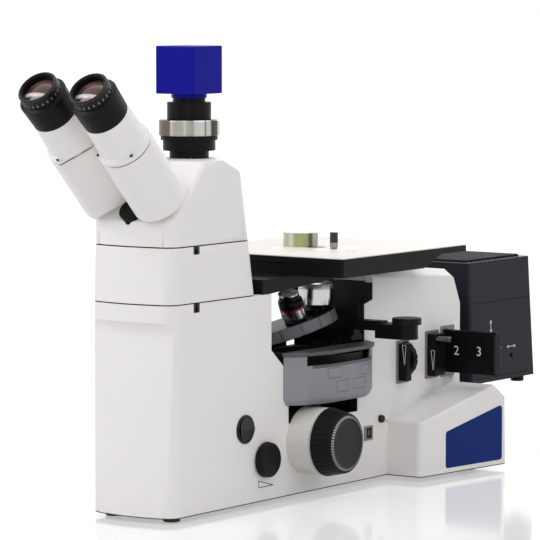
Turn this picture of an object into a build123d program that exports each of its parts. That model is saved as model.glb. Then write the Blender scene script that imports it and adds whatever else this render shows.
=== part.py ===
from build123d import *
import os
from math import cos, hypot, radians, sin, tan

# Inverted microscope in millimetres. X is the user's right, Y runs from the eyepieces to the lamp, Z is up.
# All places are measured from the point on the table under the objective in use.

# General values
over = 4.0              # how far a cutting solid runs past the face it opens
slide_gap = 0.3         # between a sliding piece and its guide
shaft_gap = 0.05        # radial play of a shaft in its bearing
rim_gap = 0.5           # between a knob and the recess it turns in
seam_depth = 1.2        # depth and height of the dark joint lines between the covers
edge_round = 1.5        # small rounding of moulded edges

# Stand casting
half_width = 54.1
front_y = -341.0
rear_y = 217.0
foot_height = 5.0
shelf_z = 228.0         # first joint line, top of the front column
column_top_z = 244.0    # rear column, under the stage
column_shoulder_z = 230.0
column_front_y = 34.0
column_rear_top_y = 190.0
rear_slope_z = 189.0
stand_wall = 10.0
front_corner_r = 12.0
front_recess = 6.0
recess_top_z = 210.0
recess_deep_z = 192.0
shoulder_x = 44.0

# Bay for the nosepiece, from its front wall round the floor to the rear column
bay_front_y = -162.0
bay_knee_z = 167.0
bay_waist_y = -140.0
bay_waist_z = 148.0
bay_foot_y = -130.0
bay_foot_z = 102.0
bay_floor_z = 84.0
bay_sill_y = 4.0
bay_sill_z = 101.0
bay_rear_y = 17.5
bay_ledge_z = 203.0
bay_deep_y = 48.0       # rear wall of the bay behind the right cheek
bay_cheek_z = 150.0     # below this the wall stands further forward
cube_wall_y = 30.0
cube_wall_x = -40.0

# Flared rear base
wing_front_y = 65.0
wing_front_x = 99.0
wing_rear_x = 117.0
wing_front_z = 67.0
wing_high_y = 198.0
wing_high_z = 99.0
wing_rear_z = 86.0
wing_wall = 8.0
wing_round = 8.0
panel_depth = 1.5
panel_front_y = 109.0
panel_rear_y = 211.0
panel_low_z = 11.0
panel_front_z = 52.8
panel_rear_z = 75.1
panel_corner_r = 4.0
panel_gap = 0.2

# Base plate, feet and inner pedestals
plate_thick = 3.0
plate_margin = 0.4
foot_r = 9.0
foot_front_y = -320.0
foot_front_x = 38.0
foot_rear_y = 186.0
foot_rear_x = 84.0
pedestal_half = 12.0
board_y = (96.0, 192.0)
board_half_x = 36.0
board_z = 16.0
board_thick = 1.6
standoff_r = 4.0
transformer_size = (34.0, 40.0, 26.0)
capacitor_r = 8.0
capacitor_height = 22.0
heat_sink_size = (10.0, 34.0, 24.0)

# Light paths
lamp_axis_z = 134.0
tunnel_r = 22.0
image_axis_z = 45.0
prism_side = 30.0
tube_axis_y = -237.0
tube_lens_y = -160.0
tube_lens_r = 18.0
tube_lens_thick = 8.0
beam_r = 12.0

# Intermediate tube
riser_top_z = 289.0
riser_rear_y = -181.5
riser_top_rear_y = -192.0
riser_top_front_y = -338.5
head_rear_top_y = -209.0
rear_corner_r = 20.0
tower_wall = 10.0
notch_r = 3.6
notch_y = -297.0
notch_drop = 10.0
screw_head_r = 3.2
screw_head_high = 3.0
screw_shank_r = 2.0
screw_long = 9.0

# Head
view_angle = 45.0
eye_half_distance = 33.0
arm_foot_y = -331.2     # where the plane of the arms' lower ends crosses the eyepiece axes
arm_foot_z = 336.2
head_face_w = -10.0     # slanted face of the head behind the arms' lower ends
head_top_z = 371.0
head_top_rear_y = -250.0
head_rear_knee_z = 354.5
head_rear_knee_y = -205.0
port_boss_r = 30.0
port_z = 376.0
head_floor = 11.0

# Binocular arms, measured along and across the eyepiece axes from the arms' lower ends
hinge_t = -17.8
hinge_pin_r = 5.0
hub_r = 17.0
hub_shift = 9.0
hub_gap = 1.0
arm_r = 30.5
arm_length = 83.0
arm_bottom_deg = -80.0
arm_crease = (14.3, -10.4)
arm_inner = (8.2, 2.0)
arm_inner_top = (9.0, 13.0)
arm_top_inner = (12.5, 18.5)
knuckle_r = 8.5
knuckle_right = (59.0, 81.0)
knuckle_left = (34.0, 56.0)
lid_thick = 7.0
sleeve_top_w = 129.6
sleeve_foot_r = 28.5
sleeve_top_r = 24.8
eyepiece_stem_r = 15.0
eyepiece_stem_low_w = 104.0

# Eyepieces
eyepiece_low_r = 24.6
eyepiece_high_r = 25.8
eyepiece_shoulder_w = 157.0
eyepiece_top_w = 159.5
neck_r = 19.0
neck_bore_r = 17.5
ring_r = 21.7
ring_low_w = eyepiece_top_w + 0.8
ring_high_w = ring_low_w + 10.7
lens_r = 17.4
lens_low_w = eyepiece_top_w + 1.5
lens_edge_w = lens_low_w + 2.0
lens_top_w = lens_edge_w + 3.5

# Camera port, measured up from its foot on the head
port_foot_r = 21.0
port_foot_top = 384.4
port_body_r = 28.0
port_body_top = 395.6
port_flange_r = 30.4
port_flange_top = 399.7
port_neck_r = 24.0
port_neck_top = 417.0
port_bore_r = 15.0
clamp_ring_r = 32.5
clamp_ring_z = (400.2, 416.9)
adapter_r = 23.5
adapter_z = (417.4, 435.6)
adapter_thread_r = 17.4
adapter_top_z = 440.1
adapter_spigot_z = 405.0
camera_lip_r = 19.0
camera_low_z = 444.5
camera_side = 50.8
camera_round = 1.2
socket_r = 5.5

# Stage
stage_half_x = 115.5
stage_y = (-115.5, 134.5)
stage_top_z = 265.5
stage_skin = 1.0
stage_plate_thick = 6.5
stage_frame_step = 2.5
stage_corner_r = 3.0
insert_r = 54.0
insert_gap = 0.15
insert_ledge = 4.0
insert_thick = 3.0
insert_hole_r = 12.0
frame_front_y = -176.0
frame_front_wall_y = -95.0
frame_right_x = 44.0
frame_left_x = -70.0
frame_left_wall = 10.0
specimen_r = 19.9
specimen_high = 16.0
specimen_at = (-25.0, 6.0)
post_r = 4.0
post_head_high = 10.0
post_head_step = 1.5
post_at = (30.0, -8.0)
stage_screw_ys = (-22.0, -34.0)
stage_screw_x = 66.0

# Nosepiece, tilted towards the left front
turret_tilt = 18.0
turret_turn = 38.0
seat_z = 191.5
seat_circle_r = 36.0
turret_r = 58.0
turret_thick = 10.0
turret_pin_r = 8.0
turret_pin_long = 19.0
turret_gap = 0.4
objective_count = 5
light_hole_r = 8.5
carrier_r = 30.0
carrier_thick = 6.6
slider_block_x = (-20.0, 43.0)
slider_block_y = 15.0
slider_block_z = (162.0, 172.0)
carrier_post_x = (-50.0, -37.0)
carrier_post_y = (-45.0, -25.0)
carrier_arm_z = (140.0, 150.0)
carrier_arm_y = -96.0
carrier_arm_x = (-46.0, -33.0)

# Focus drive
focus_y = -97.0
focus_z = 63.0
tooth_module = 1.0
pinion_teeth = 12
pressure_angle = 25.0
addendum_share = 0.8
dedendum_share = 0.95
backlash = 0.2
rack_x = (-42.0, -33.0)
rack_back_y = -80.0
rack_z = (38.0, 76.0)
coarse_shaft_r = 4.9
fine_shaft_r = 3.0
collar_r = 37.0
collar_end_x = 83.5
coarse_start_x = 84.3
coarse_end_x = 108.0
coarse_back_r = 37.6
coarse_front_r = 33.0
coarse_recess_r = 30.9
coarse_recess_x = 99.0
fine_r = 30.3
fine_x = (99.6, 110.0)
rib_count = 36
rib_r = 1.3

# Reflector turret and its cover
wheel_at = (22.0, -32.0)
wheel_r = 53.0
wheel_z = (144.0, 154.0)
wheel_web_thick = 4.0
wheel_rim = 7.0
wheel_axle_r = 6.0
cube_side = 22.0
cube_low_z = 107.0
cube_count = 4
cover_z = (104.0, 162.0)
cover_wall = 3.0
cover_front_y = -132.0
cover_outline = ((72.0, -112.0), (81.0, -80.0), (81.0, -8.0), (70.0, 18.0))
cover_outer_x = 81.0
cover_rear_y = 28.0
cover_corner_r = 8.0
cover_chamfer = 7.0
cover_slot_z = (147.0, 157.5)
cover_slot_y = (-112.0, 4.0)
cover_rim = 2.5
cover_rim_high = 4.0

# Side controls
dial_y = -175.0
dial_z = 50.0
dial_r = 19.3
dial_end_x = 64.0
rocker_y = -211.0
rocker_z = 86.5
bezel_r = 15.5
bezel_thick = 2.2
rocker_r = 12.2
rocker_out = 4.5
rocker_body_r = 8.0
rocker_body_deep = 6.0
button_y = 50.0
button_z = 70.6
button_r = 4.3
button_out = 4.0
button_in = 5.0
switch_y = 25.0
switch_z = 57.0
switch_frame = (9.0, 15.0)
switch_wall = 1.6

# Modules in the side of the rear column
frame_thick = 1.5
aperture_frame_y = (82.0, 107.0)
aperture_frame_z = (107.0, 156.0)
stop_frame_y = (142.0, 169.0)
stop_frame_z = (107.0, 162.0)
slider_frame_y = (175.0, 203.0)
slider_frame_z = (106.0, 165.0)
frame_border = 3.3
module_gap = 0.3
module_deep_x = -26.0
module_face_x = 57.0
module_beam_r = 15.0
thumbwheel_x = 48.0
thumbwheel_r = 18.0
thumbwheel_y = (95.5, 103.0)
thumbwheel_axle_r = 3.0
thumbwheel_axle_deep = 6.0
stop_pin_y = 149.0
stop_pin_z = 153.5
stop_pin_r = 3.3
stop_pin_end_x = 76.0
filter_y = (178.6, 187.4)
filter_z = (112.0, 161.0)
filter_x = (-52.0, 127.0)
filter_pitch = 31.0
filter_hole_r = 14.0
filter_grip_x = 115.0
filter_grip_out = 3.0
filter_grip_short = 2.5

# Analyser slider with its round knob
tongue_y = 11.0
tongue_z = (164.3, 170.1)
tongue_hole_r = 8.5
tongue_end_x = -16.0
analyser_step_x = (44.5, 56.0)
analyser_bar_z = (177.0, 188.0)
analyser_bar_y = 7.0
analyser_holder_x = (88.0, 122.0)
analyser_holder_z = (169.5, 185.5)
analyser_holder_y = 12.5
analyser_knob_r = 16.3
analyser_knob_top_z = 193.0
analyser_stub_r = 5.0
analyser_stub_deep = 10.0

# Lamp housing behind the stand
lamp_half_top = 47.0
lamp_half_low = 50.5
lamp_top_y = (244.0, 384.0)
lamp_low_y = (250.0, 392.5)
lamp_z = (89.0, 232.5)
lamp_wall = 4.0
lamp_round = 4.0
lamp_fin_count = 13
lamp_fin_slot = 4.6
lamp_fin_margin = 9.0
lamp_tube_r = 25.0
lamp_tube_bore_r = 19.0
door_y = (258.0, 374.0)
door_z = (94.0, 184.0)
door_depth = 2.0
door_seam = 0.6
adjuster_r = 3.2
adjuster_places = ((311.0, 112.0), (339.0, 116.4))
collector_r = 18.5
collector_thick = 12.0
collector_y = 226.0
bulb_y = 300.0
bulb_r = 6.5
bulb_long = 22.0
bulb_base_r = 16.0
clamp_knob_at = (38.0, 372.0)
clamp_knob_r = 8.0
clamp_knob_low_z = 82.0

# Mains inlet in the rear face
inlet_x = (-34.0, 34.0)
inlet_z = (18.0, 52.0)
inlet_flange = 1.6
inlet_deep = 16.0
inlet_border = 4.0
inlet_socket_half = 13.0
inlet_socket_x = -15.0
inlet_socket_high = 19.0
inlet_socket_deep = 12.0
inlet_pin_r = 1.6
inlet_pin_step = 7.0
inlet_pin_rise = 3.0
switch_x = 17.0
switch_half = 6.3
switch_tall = 19.0
switch_out = 2.0
switch_rim = 0.8
switch_inner_deep = 8.0

tilt = radians(turret_tilt)
turn = radians(turret_turn)
turret_normal = Vector(-sin(tilt) * cos(turn), -sin(tilt) * sin(turn), cos(tilt))
turret_rise = Vector(cos(tilt) * cos(turn), cos(tilt) * sin(turn), sin(tilt))
turret_centre = Vector(0, 0, seat_z) - turret_rise * seat_circle_r
turret_plane = Plane(origin=turret_centre, x_dir=turret_rise, z_dir=turret_normal)
view = radians(view_angle)
view_plane = Plane(
    origin=(0, arm_foot_y, arm_foot_z), x_dir=(1, 0, 0), z_dir=(0, -cos(view), sin(view))
)
pinion_pitch_r = tooth_module * pinion_teeth / 2
rack_pitch_y = focus_y + pinion_pitch_r
cap_screw_y = (notch_y,)


# Shapes shared by many pieces
def block(x, y, z):
    centre = ((x[0] + x[1]) / 2, (y[0] + y[1]) / 2, (z[0] + z[1]) / 2)
    return Pos(*centre) * Box(x[1] - x[0], y[1] - y[0], z[1] - z[0])


def side_prism(outline, x):
    """An outline in Y and Z, carried along X between two places."""
    return extrude(Plane.YZ.offset(x[0]) * Polygon(*outline), x[1] - x[0], dir=(1, 0, 0))


def plan_prism(outline, z):
    """An outline in X and Y, carried up between two heights."""
    return extrude(Plane.XY.offset(z[0]) * Polygon(*outline), z[1] - z[0], dir=(0, 0, 1))


def disc_x(y, z, r, x):
    return extrude(Plane.YZ.offset(x[0]) * Pos(y, z) * Circle(r), x[1] - x[0], dir=(1, 0, 0))


def disc_y(x, z, r, y):
    plane = Plane(origin=(0, y[0], 0), x_dir=(1, 0, 0), z_dir=(0, 1, 0))
    return extrude(plane * Pos(x, -z) * Circle(r), y[1] - y[0], dir=(0, 1, 0))


def disc_z(x, y, r, z):
    return extrude(Plane.XY.offset(z[0]) * Pos(x, y) * Circle(r), z[1] - z[0], dir=(0, 0, 1))


def local_disc(plane, x, y, r, w):
    """A disc between two heights above a tilted plane."""
    return plane * extrude(Plane.XY.offset(w[0]) * Pos(x, y) * Circle(r), w[1] - w[0])


def turned(profile, plane):
    """A profile of radius and height, turned about the plane's normal."""
    face = Plane.XZ * Polygon(*profile)
    return plane * revolve(face, Axis.Z)


def both_sides(shape):
    return [shape, mirror(shape, Plane.YZ)]


def rounded_plan(half, y, front_r, rear_r, z):
    """A rectangle with one radius at its front corners and one at its rear corners."""
    plan = Polygon((-half, y[0]), (half, y[0]), (half, y[1]), (-half, y[1]))
    plan = fillet(plan.vertices().group_by(Axis.Y)[0], front_r)
    plan = fillet(plan.vertices().group_by(Axis.Y)[-1], rear_r)
    return Plane.XY.offset(z) * plan


def tower(low, high, low_half, z, front_r, rear_r):
    """A tower cover between two plans."""
    lower = rounded_plan(low_half, low, front_r, rear_r, z[0])
    upper = rounded_plan(low_half, high, front_r, rear_r, z[1])
    return loft([lower, upper])


def screw_x(y, z, x_face):
    """A cap screw driven in along X, its head against the face."""
    head = disc_x(y, z, screw_head_r, (x_face, x_face + screw_head_high))
    shank = disc_x(y, z, screw_shank_r, (x_face - screw_long, x_face))
    socket = disc_x(y, z, screw_shank_r, (x_face + screw_head_high / 2, x_face + screw_head_high + over))
    return head + shank - socket


# Stand casting
def stand_outline():
    return [
        (front_y, foot_height), (front_y, shelf_z), (column_front_y, shelf_z),
        (column_front_y, column_top_z), (column_rear_top_y, column_top_z),
        (rear_y, rear_slope_z), (rear_y, foot_height),
    ]


def bay_outline():
    return [
        (bay_front_y, shelf_z + over), (bay_front_y, bay_knee_z), (bay_waist_y, bay_waist_z),
        (bay_foot_y, bay_foot_z), (bay_foot_y, bay_floor_z), (bay_sill_y, bay_floor_z),
        (bay_sill_y, bay_sill_z), (bay_rear_y, bay_sill_z), (bay_rear_y, bay_ledge_z),
        (column_front_y, bay_ledge_z + over), (column_front_y, shelf_z + over),
    ]


def wing_outline():
    return [
        (wing_front_y - edge_round, foot_height), (wing_front_y + edge_round, wing_front_z),
        (wing_high_y, wing_high_z), (rear_y - edge_round, wing_rear_z), (rear_y, foot_height),
    ]


def wing_plan(inset):
    return [
        (shoulder_x - inset, wing_front_y - over), (half_width, wing_front_y - over),
        (half_width, wing_front_y - edge_round + inset), (wing_front_x - inset, wing_front_y + inset),
        (wing_rear_x - inset, rear_y + over), (shoulder_x - inset, rear_y + over),
    ]


def wing():
    shape = side_prism(wing_outline(), (shoulder_x, wing_rear_x + over))
    shape &= plan_prism(wing_plan(0), (foot_height - over, wing_high_z + over))
    outer = shape.edges().filter_by(Axis.Z).sort_by(Axis.X)[-2:]
    corner = outer.sort_by(Axis.Y)[0]
    shape = fillet(corner, wing_round)
    top = shape.faces().filter_by(lambda f: f.normal_at().Z > 0.5)
    rims = [e for e in top.edges() if e.center().X > half_width + wing_wall and abs(e.tangent_at(0).X) < 0.5]
    return fillet(rims, edge_round * 2)


def wing_hollow():
    low = [(y + wing_wall, z - wing_wall) for y, z in wing_outline()[1:3]]
    high_y, high_z = wing_high_y - wing_wall, wing_high_z - wing_wall * 2
    outline = [
        (wing_front_y + wing_wall, foot_height - over), (low[0][0], low[0][1]),
        (high_y, high_z), (rear_y - stand_wall, high_z), (rear_y - stand_wall, foot_height - over),
    ]
    shape = side_prism(outline, (shoulder_x - over, wing_rear_x))
    return shape & plan_prism(wing_plan(wing_wall), (foot_height - over * 2, wing_high_z))


def side_panel_cut(depth, gap):
    """The inlay's slab under the slanted outer face of the flared base."""
    run = hypot(rear_y - wing_front_y, wing_rear_x - wing_front_x)
    along = Vector(wing_rear_x - wing_front_x, rear_y - wing_front_y, 0) / run
    outward = Vector(along.Y, -along.X, 0)
    corner = Vector(wing_front_x, wing_front_y, 0)
    face_plane = Plane(origin=corner - outward * depth, x_dir=along, z_dir=outward)
    stretch = run / (rear_y - wing_front_y)
    near, far = (panel_front_y - wing_front_y) * stretch, (panel_rear_y - wing_front_y) * stretch
    shape = Polygon(
        (near + gap, panel_low_z + gap), (far - gap, panel_low_z + gap),
        (far - gap, panel_rear_z - gap), (near + gap, panel_front_z - gap),
    )
    shape = fillet(shape.vertices(), panel_corner_r)
    return face_plane * extrude(shape, depth if gap else depth + over)


def front_recess_cut():
    deep = front_y + front_recess
    middle = ((front_y + deep) / 2 + front_recess / 4, (recess_top_z + recess_deep_z) / 2 + front_recess / 4)
    arc = ThreePointArc((deep, recess_deep_z), middle, (front_y, recess_top_z))
    rest = Polyline(
        (front_y, recess_top_z), (front_y - over, recess_top_z), (front_y - over, foot_height - over),
        (front_y, foot_height - over), (front_y, foot_height), (deep, recess_deep_z),
    )
    return extrude(Plane.YZ.offset(-half_width - over) * make_face([arc, rest]),
                   (half_width + over) * 2, dir=(1, 0, 0))


def notches(top_z, half):
    """Half-round slots in both sides of a tower, under its upper joint line."""
    slot = block((half - notch_r, half + over), (notch_y - notch_r, notch_y + notch_r),
                 (top_z - notch_drop + notch_r, top_z + over))
    slot += disc_x(notch_y, top_z - notch_drop + notch_r, notch_r, (half - notch_r, half + over))
    hole = disc_x(notch_y, top_z - notch_drop + notch_r, screw_shank_r + slide_gap / 2,
                  (half - notch_r - screw_long - over, half))
    return both_sides(slot + hole)


def module_pockets():
    outer = half_width + over
    inner = -shoulder_x
    cuts = []
    for y, z in ((aperture_frame_y, aperture_frame_z), (stop_frame_y, stop_frame_z)):
        cuts.append(block((module_deep_x - module_gap, outer),
                          (y[0] + frame_border - module_gap, y[1] - frame_border + module_gap),
                          (z[0] + frame_border - module_gap, z[1] - frame_border + module_gap)))
    cuts.append(block((-outer, outer), (filter_y[0] - slide_gap, filter_y[1] + slide_gap),
                      (filter_z[0] - slide_gap, filter_z[1] + slide_gap)))
    cuts.append(disc_y(0, lamp_axis_z, tunnel_r, (bay_rear_y - over, rear_y + over)))
    return cuts


def control_holes():
    """Holes in the right side for the dial, the rocker, the button and the framed switch."""
    wall = (shoulder_x - over, half_width + over)
    frame_half = (switch_frame[0] / 2 - switch_wall, switch_frame[1] / 2 - switch_wall)
    return [
        disc_x(dial_y, dial_z, fine_shaft_r + shaft_gap, wall),
        disc_x(rocker_y, rocker_z, bezel_r - bezel_thick, (half_width - rocker_body_deep - edge_round, wall[1])),
        disc_x(button_y, button_z, button_r + slide_gap / 2, (half_width - button_in - over, wall[1])),
        block((half_width - switch_wall * 2, wall[1]), (switch_y - frame_half[0], switch_y + frame_half[0]),
              (switch_z - frame_half[1], switch_z + frame_half[1])),
    ]


def rack_slot():
    tooth = tooth_module * (addendum_share + dedendum_share)
    return block((rack_x[0] - slide_gap, rack_x[1] + slide_gap),
                 (rack_pitch_y - tooth - slide_gap, rack_back_y + slide_gap),
                 (bay_floor_z - stand_wall, bay_floor_z + over))


def stand_housing():
    body = side_prism(stand_outline(), (-half_width, half_width))
    body = fillet(body.edges().filter_by(Axis.Z).group_by(Axis.Y)[0], front_corner_r)
    for bevel in both_sides(side_prism([(column_front_y - over, column_shoulder_z),
                                        (column_rear_top_y + over, column_shoulder_z),
                                        (rear_y + over, rear_slope_z - over * 2),
                                        (rear_y + over, column_top_z + over),
                                        (column_front_y - over, column_top_z + over)],
                                       (shoulder_x, half_width + over))):
        side = 1 if bevel.center().X > 0 else -1
        wedge = Plane.XZ.offset(-column_front_y + over) * Polygon(
            (side * half_width, column_shoulder_z), (side * (half_width + over), column_shoulder_z),
            (side * (half_width + over), column_top_z + over), (side * shoulder_x, column_top_z + over),
            (side * shoulder_x, column_top_z),
        )
        body -= bevel & extrude(wedge, rear_y - column_front_y + over * 2, dir=(0, 1, 0))
    body += both_sides(wing())
    body -= side_prism(bay_outline(), (-half_width - over, half_width + over))
    body -= block((-half_width - over, shoulder_x), (bay_rear_y - over, bay_deep_y),
                  (bay_cheek_z, column_top_z + over))
    body -= block((cube_wall_x, shoulder_x), (bay_sill_y - over, cube_wall_y), (bay_floor_z, bay_cheek_z + over))
    inner_floor = bay_floor_z - stand_wall / 2
    body -= block((-shoulder_x, shoulder_x), (front_y + stand_wall, rear_y - stand_wall),
                  (foot_height - over, inner_floor))
    body -= block((-shoulder_x, shoulder_x), (front_y + stand_wall, bay_front_y - stand_wall),
                  (inner_floor - over, shelf_z + over))
    body -= both_sides(wing_hollow())
    body -= front_recess_cut()
    body -= notches(shelf_z, half_width)
    body -= module_pockets()
    body -= control_holes()
    body -= rack_slot()
    body -= disc_z(0, 0, beam_r + edge_round, (inner_floor - over, bay_floor_z + over))
    body -= disc_z(*wheel_at, wheel_axle_r / 2 + shaft_gap, (inner_floor - over, bay_floor_z + over))
    body -= disc_x(focus_y, focus_z, coarse_shaft_r + shaft_gap, (-half_width - over, half_width + over))
    for panel in both_sides(side_panel_cut(panel_depth, 0)):
        body -= panel
    body -= block((inlet_x[0] + inlet_border - rim_gap, inlet_x[1] - inlet_border + rim_gap),
                  (rear_y - stand_wall - over, rear_y + over),
                  (inlet_z[0] + inlet_border - rim_gap, inlet_z[1] - inlet_border + rim_gap))
    return body


def base_plate():
    z = (foot_height, foot_height + plate_thick)
    margin = plate_margin
    plate = block((-shoulder_x + margin, shoulder_x - margin),
                  (front_y + stand_wall + margin, rear_y - stand_wall - margin), z)
    side = plan_prism(wing_plan(wing_wall + margin), z)
    side &= block((shoulder_x - stand_wall, wing_rear_x),
                  (wing_front_y + wing_wall + margin, rear_y - stand_wall - margin), z)
    plate += both_sides(side)
    top = image_axis_z - prism_side / 2
    for y in (0, tube_axis_y):
        plate += block((-pedestal_half, pedestal_half), (y - pedestal_half, y + pedestal_half), (z[0], top))
    cradle = block((-pedestal_half, pedestal_half),
                   (tube_lens_y - tube_lens_thick, tube_lens_y + tube_lens_thick), (z[0], image_axis_z))
    plate += cradle - disc_y(0, image_axis_z, tube_lens_r + shaft_gap,
                             (tube_lens_y - tube_lens_thick - over, tube_lens_y + tube_lens_thick + over))
    for x in (-board_half_x + standoff_r, board_half_x - standoff_r):
        for y in (board_y[0] + standoff_r, board_y[1] - standoff_r):
            plate += disc_z(x, y, standoff_r, (z[0], board_z))
    for x, y in foot_places():
        plate -= disc_z(x, y, foot_r / 2, (z[0] - over, z[1] + over))
    return plate


def foot_places():
    front = [(-foot_front_x, foot_front_y), (foot_front_x, foot_front_y)]
    return front + [(-foot_rear_x, foot_rear_y), (foot_rear_x, foot_rear_y)]


def rubber_feet():
    feet = []
    for x, y in foot_places():
        pad = disc_z(x, y, foot_r, (0, foot_height))
        pad = chamfer(pad.edges().group_by(Axis.Z)[0], edge_round / 2)
        feet.append(pad + disc_z(x, y, foot_r / 2, (foot_height, foot_height + plate_thick)))
    return feet


def side_panels():
    return both_sides(side_panel_cut(panel_depth, panel_gap))


def fold_prisms():
    """Three equal prisms: under the objective, at the foot of the tube axis and in the head."""
    half = prism_side / 2
    prisms = []
    head_z = riser_top_z + head_floor + half
    for y, z, turn_way in ((0, image_axis_z, -1), (tube_axis_y, image_axis_z, 1), (tube_axis_y, head_z, -1)):
        low, high = z - half, z + half
        outline = [(y - half, low), (y + half, low), (y + turn_way * half, high)]
        prisms.append(side_prism(outline, (-half, half)))
    return prisms


def dome(r, edge, top):
    """Half of a lens surface in profile: an arc about a centre on the axis."""
    rise = top - edge
    sphere_r = (r ** 2 + rise ** 2) / (2 * rise)
    centre = top - sphere_r
    middle = centre + (sphere_r ** 2 - (r / 2) ** 2) ** 0.5 * (1 if rise > 0 else -1)
    return ThreePointArc((r, edge), (r / 2, middle), (0, top))


def tube_lens():
    half = tube_lens_thick / 2
    rim = half / 2
    bulge = Plane.XY * make_face([
        Polyline((0, -half), (0, half)), dome(tube_lens_r, rim, half),
        Polyline((tube_lens_r, rim), (tube_lens_r, -rim)), dome(tube_lens_r, -rim, -half),
    ])
    return Pos(0, tube_lens_y, image_axis_z) * revolve(bulge, Axis.Y)


def collector_lens():
    half = collector_thick / 2
    rim = half / 3
    bulge = Plane.XY * make_face([
        Polyline((0, -half), (0, half)), dome(collector_r, rim, half),
        Polyline((collector_r, rim), (collector_r, -half), (0, -half)),
    ])
    return Pos(0, collector_y, lamp_axis_z) * revolve(bulge, Axis.Y)


def light_path_lenses():
    return [tube_lens(), collector_lens()]


def power_board():
    board = block((-board_half_x, board_half_x), board_y, (board_z, board_z + board_thick))
    top = board_z + board_thick
    wide, long, tall = transformer_size
    middle_y = (board_y[0] + board_y[1]) / 2
    parts = board + block((-board_half_x + standoff_r, -board_half_x + standoff_r + wide),
                          (middle_y - long / 2, middle_y + long / 2), (top, top + tall))
    sink_x, sink_y, sink_z = heat_sink_size
    parts += block((board_half_x - standoff_r - sink_x, board_half_x - standoff_r),
                   (middle_y - sink_y / 2, middle_y + sink_y / 2), (top, top + sink_z))
    for k in (-1, 1):
        parts += disc_z(capacitor_r + standoff_r / 2, middle_y + k * capacitor_r * 2, capacitor_r,
                        (top, top + capacitor_height))
    return parts


def cap_screws():
    face = half_width - notch_r
    screws = []
    for top in (shelf_z, riser_top_z):
        screw = screw_x(notch_y, top - notch_drop + notch_r, face)
        screws += both_sides(screw)
    return screws


def mains_inlet():
    z = inlet_z
    flange = block(inlet_x, (rear_y, rear_y + inlet_flange), z)
    body = block((inlet_x[0] + inlet_border, inlet_x[1] - inlet_border), (rear_y - inlet_deep, rear_y + inlet_flange),
                 (z[0] + inlet_border, z[1] - inlet_border))
    middle = (z[0] + z[1]) / 2
    socket = block((inlet_socket_x - inlet_socket_half, inlet_socket_x + inlet_socket_half),
                   (rear_y + inlet_flange - inlet_socket_deep, rear_y + over),
                   (middle - inlet_socket_high / 2, middle + inlet_socket_high / 2))
    hole = block((switch_x - switch_half - slide_gap, switch_x + switch_half + slide_gap),
                 (rear_y + inlet_flange - switch_inner_deep, rear_y + over),
                 (middle - switch_tall / 2 - slide_gap, middle + switch_tall / 2 + slide_gap))
    shape = flange + body - socket - hole
    for k in (-1, 0, 1):
        pin_z = middle - inlet_pin_rise * (1 - 2 * abs(k)) / 2
        shape += disc_y(inlet_socket_x + k * inlet_pin_step, pin_z, inlet_pin_r,
                        (rear_y + inlet_flange - inlet_socket_deep, rear_y - edge_round))
    return shape


def power_switch():
    """A rocker that swings about a level pin, with its upper half pressed in."""
    middle = (inlet_z[0] + inlet_z[1]) / 2
    pivot_y = rear_y + inlet_flange - switch_inner_deep / 2
    face = rear_y + inlet_flange
    high = middle + switch_tall / 2 - switch_rim
    low = middle - switch_tall / 2 + switch_rim
    outline = [(pivot_y - edge_round, middle), (face - edge_round / 2, low), (face + switch_out, low),
               (face + edge_round, middle), (face, high), (face - edge_round * 2, high)]
    rocker = side_prism(outline, (switch_x - switch_half, switch_x + switch_half))
    return rocker


# Intermediate tube and head
def tube_riser():
    plan_low = (front_y, riser_rear_y)
    plan_high = (riser_top_front_y, riser_top_rear_y)
    z = (shelf_z, riser_top_z)
    shape = tower(plan_low, plan_high, half_width, (z[0] + seam_depth, z[1] - seam_depth),
                  front_corner_r, rear_corner_r)
    for plan, heights in ((plan_low, (z[0], z[0] + seam_depth)), (plan_high, (z[1] - seam_depth, z[1]))):
        lip = (plan[0] + seam_depth, plan[1] - seam_depth)
        sketch = rounded_plan(half_width - seam_depth, lip, front_corner_r, rear_corner_r, heights[0])
        shape += extrude(sketch, seam_depth, dir=(0, 0, 1))
    shape -= block((-half_width + tower_wall, half_width - tower_wall),
                   (front_y + tower_wall + edge_round, riser_top_rear_y - tower_wall), (z[0] - over, z[1] + over))
    shape -= notches(riser_top_z, half_width)
    return shape


def face_y(z, w):
    """Y of the plane across the eyepiece axes at height w, where it reaches height z."""
    return arm_foot_y - w * cos(view) + (z - arm_foot_z - w * sin(view)) * tan(view)


def head_knee_z():
    """Height at which the slanted face meets the upright front."""
    return riser_top_front_y + riser_top_z - face_y(riser_top_z, head_face_w)


def head_outline():
    return [
        (riser_top_front_y, riser_top_z), (riser_top_front_y, head_knee_z()),
        (face_y(head_top_z, head_face_w), head_top_z), (head_top_rear_y, head_top_z),
        (head_rear_knee_y, head_rear_knee_z), (riser_top_rear_y, riser_top_z),
    ]


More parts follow.
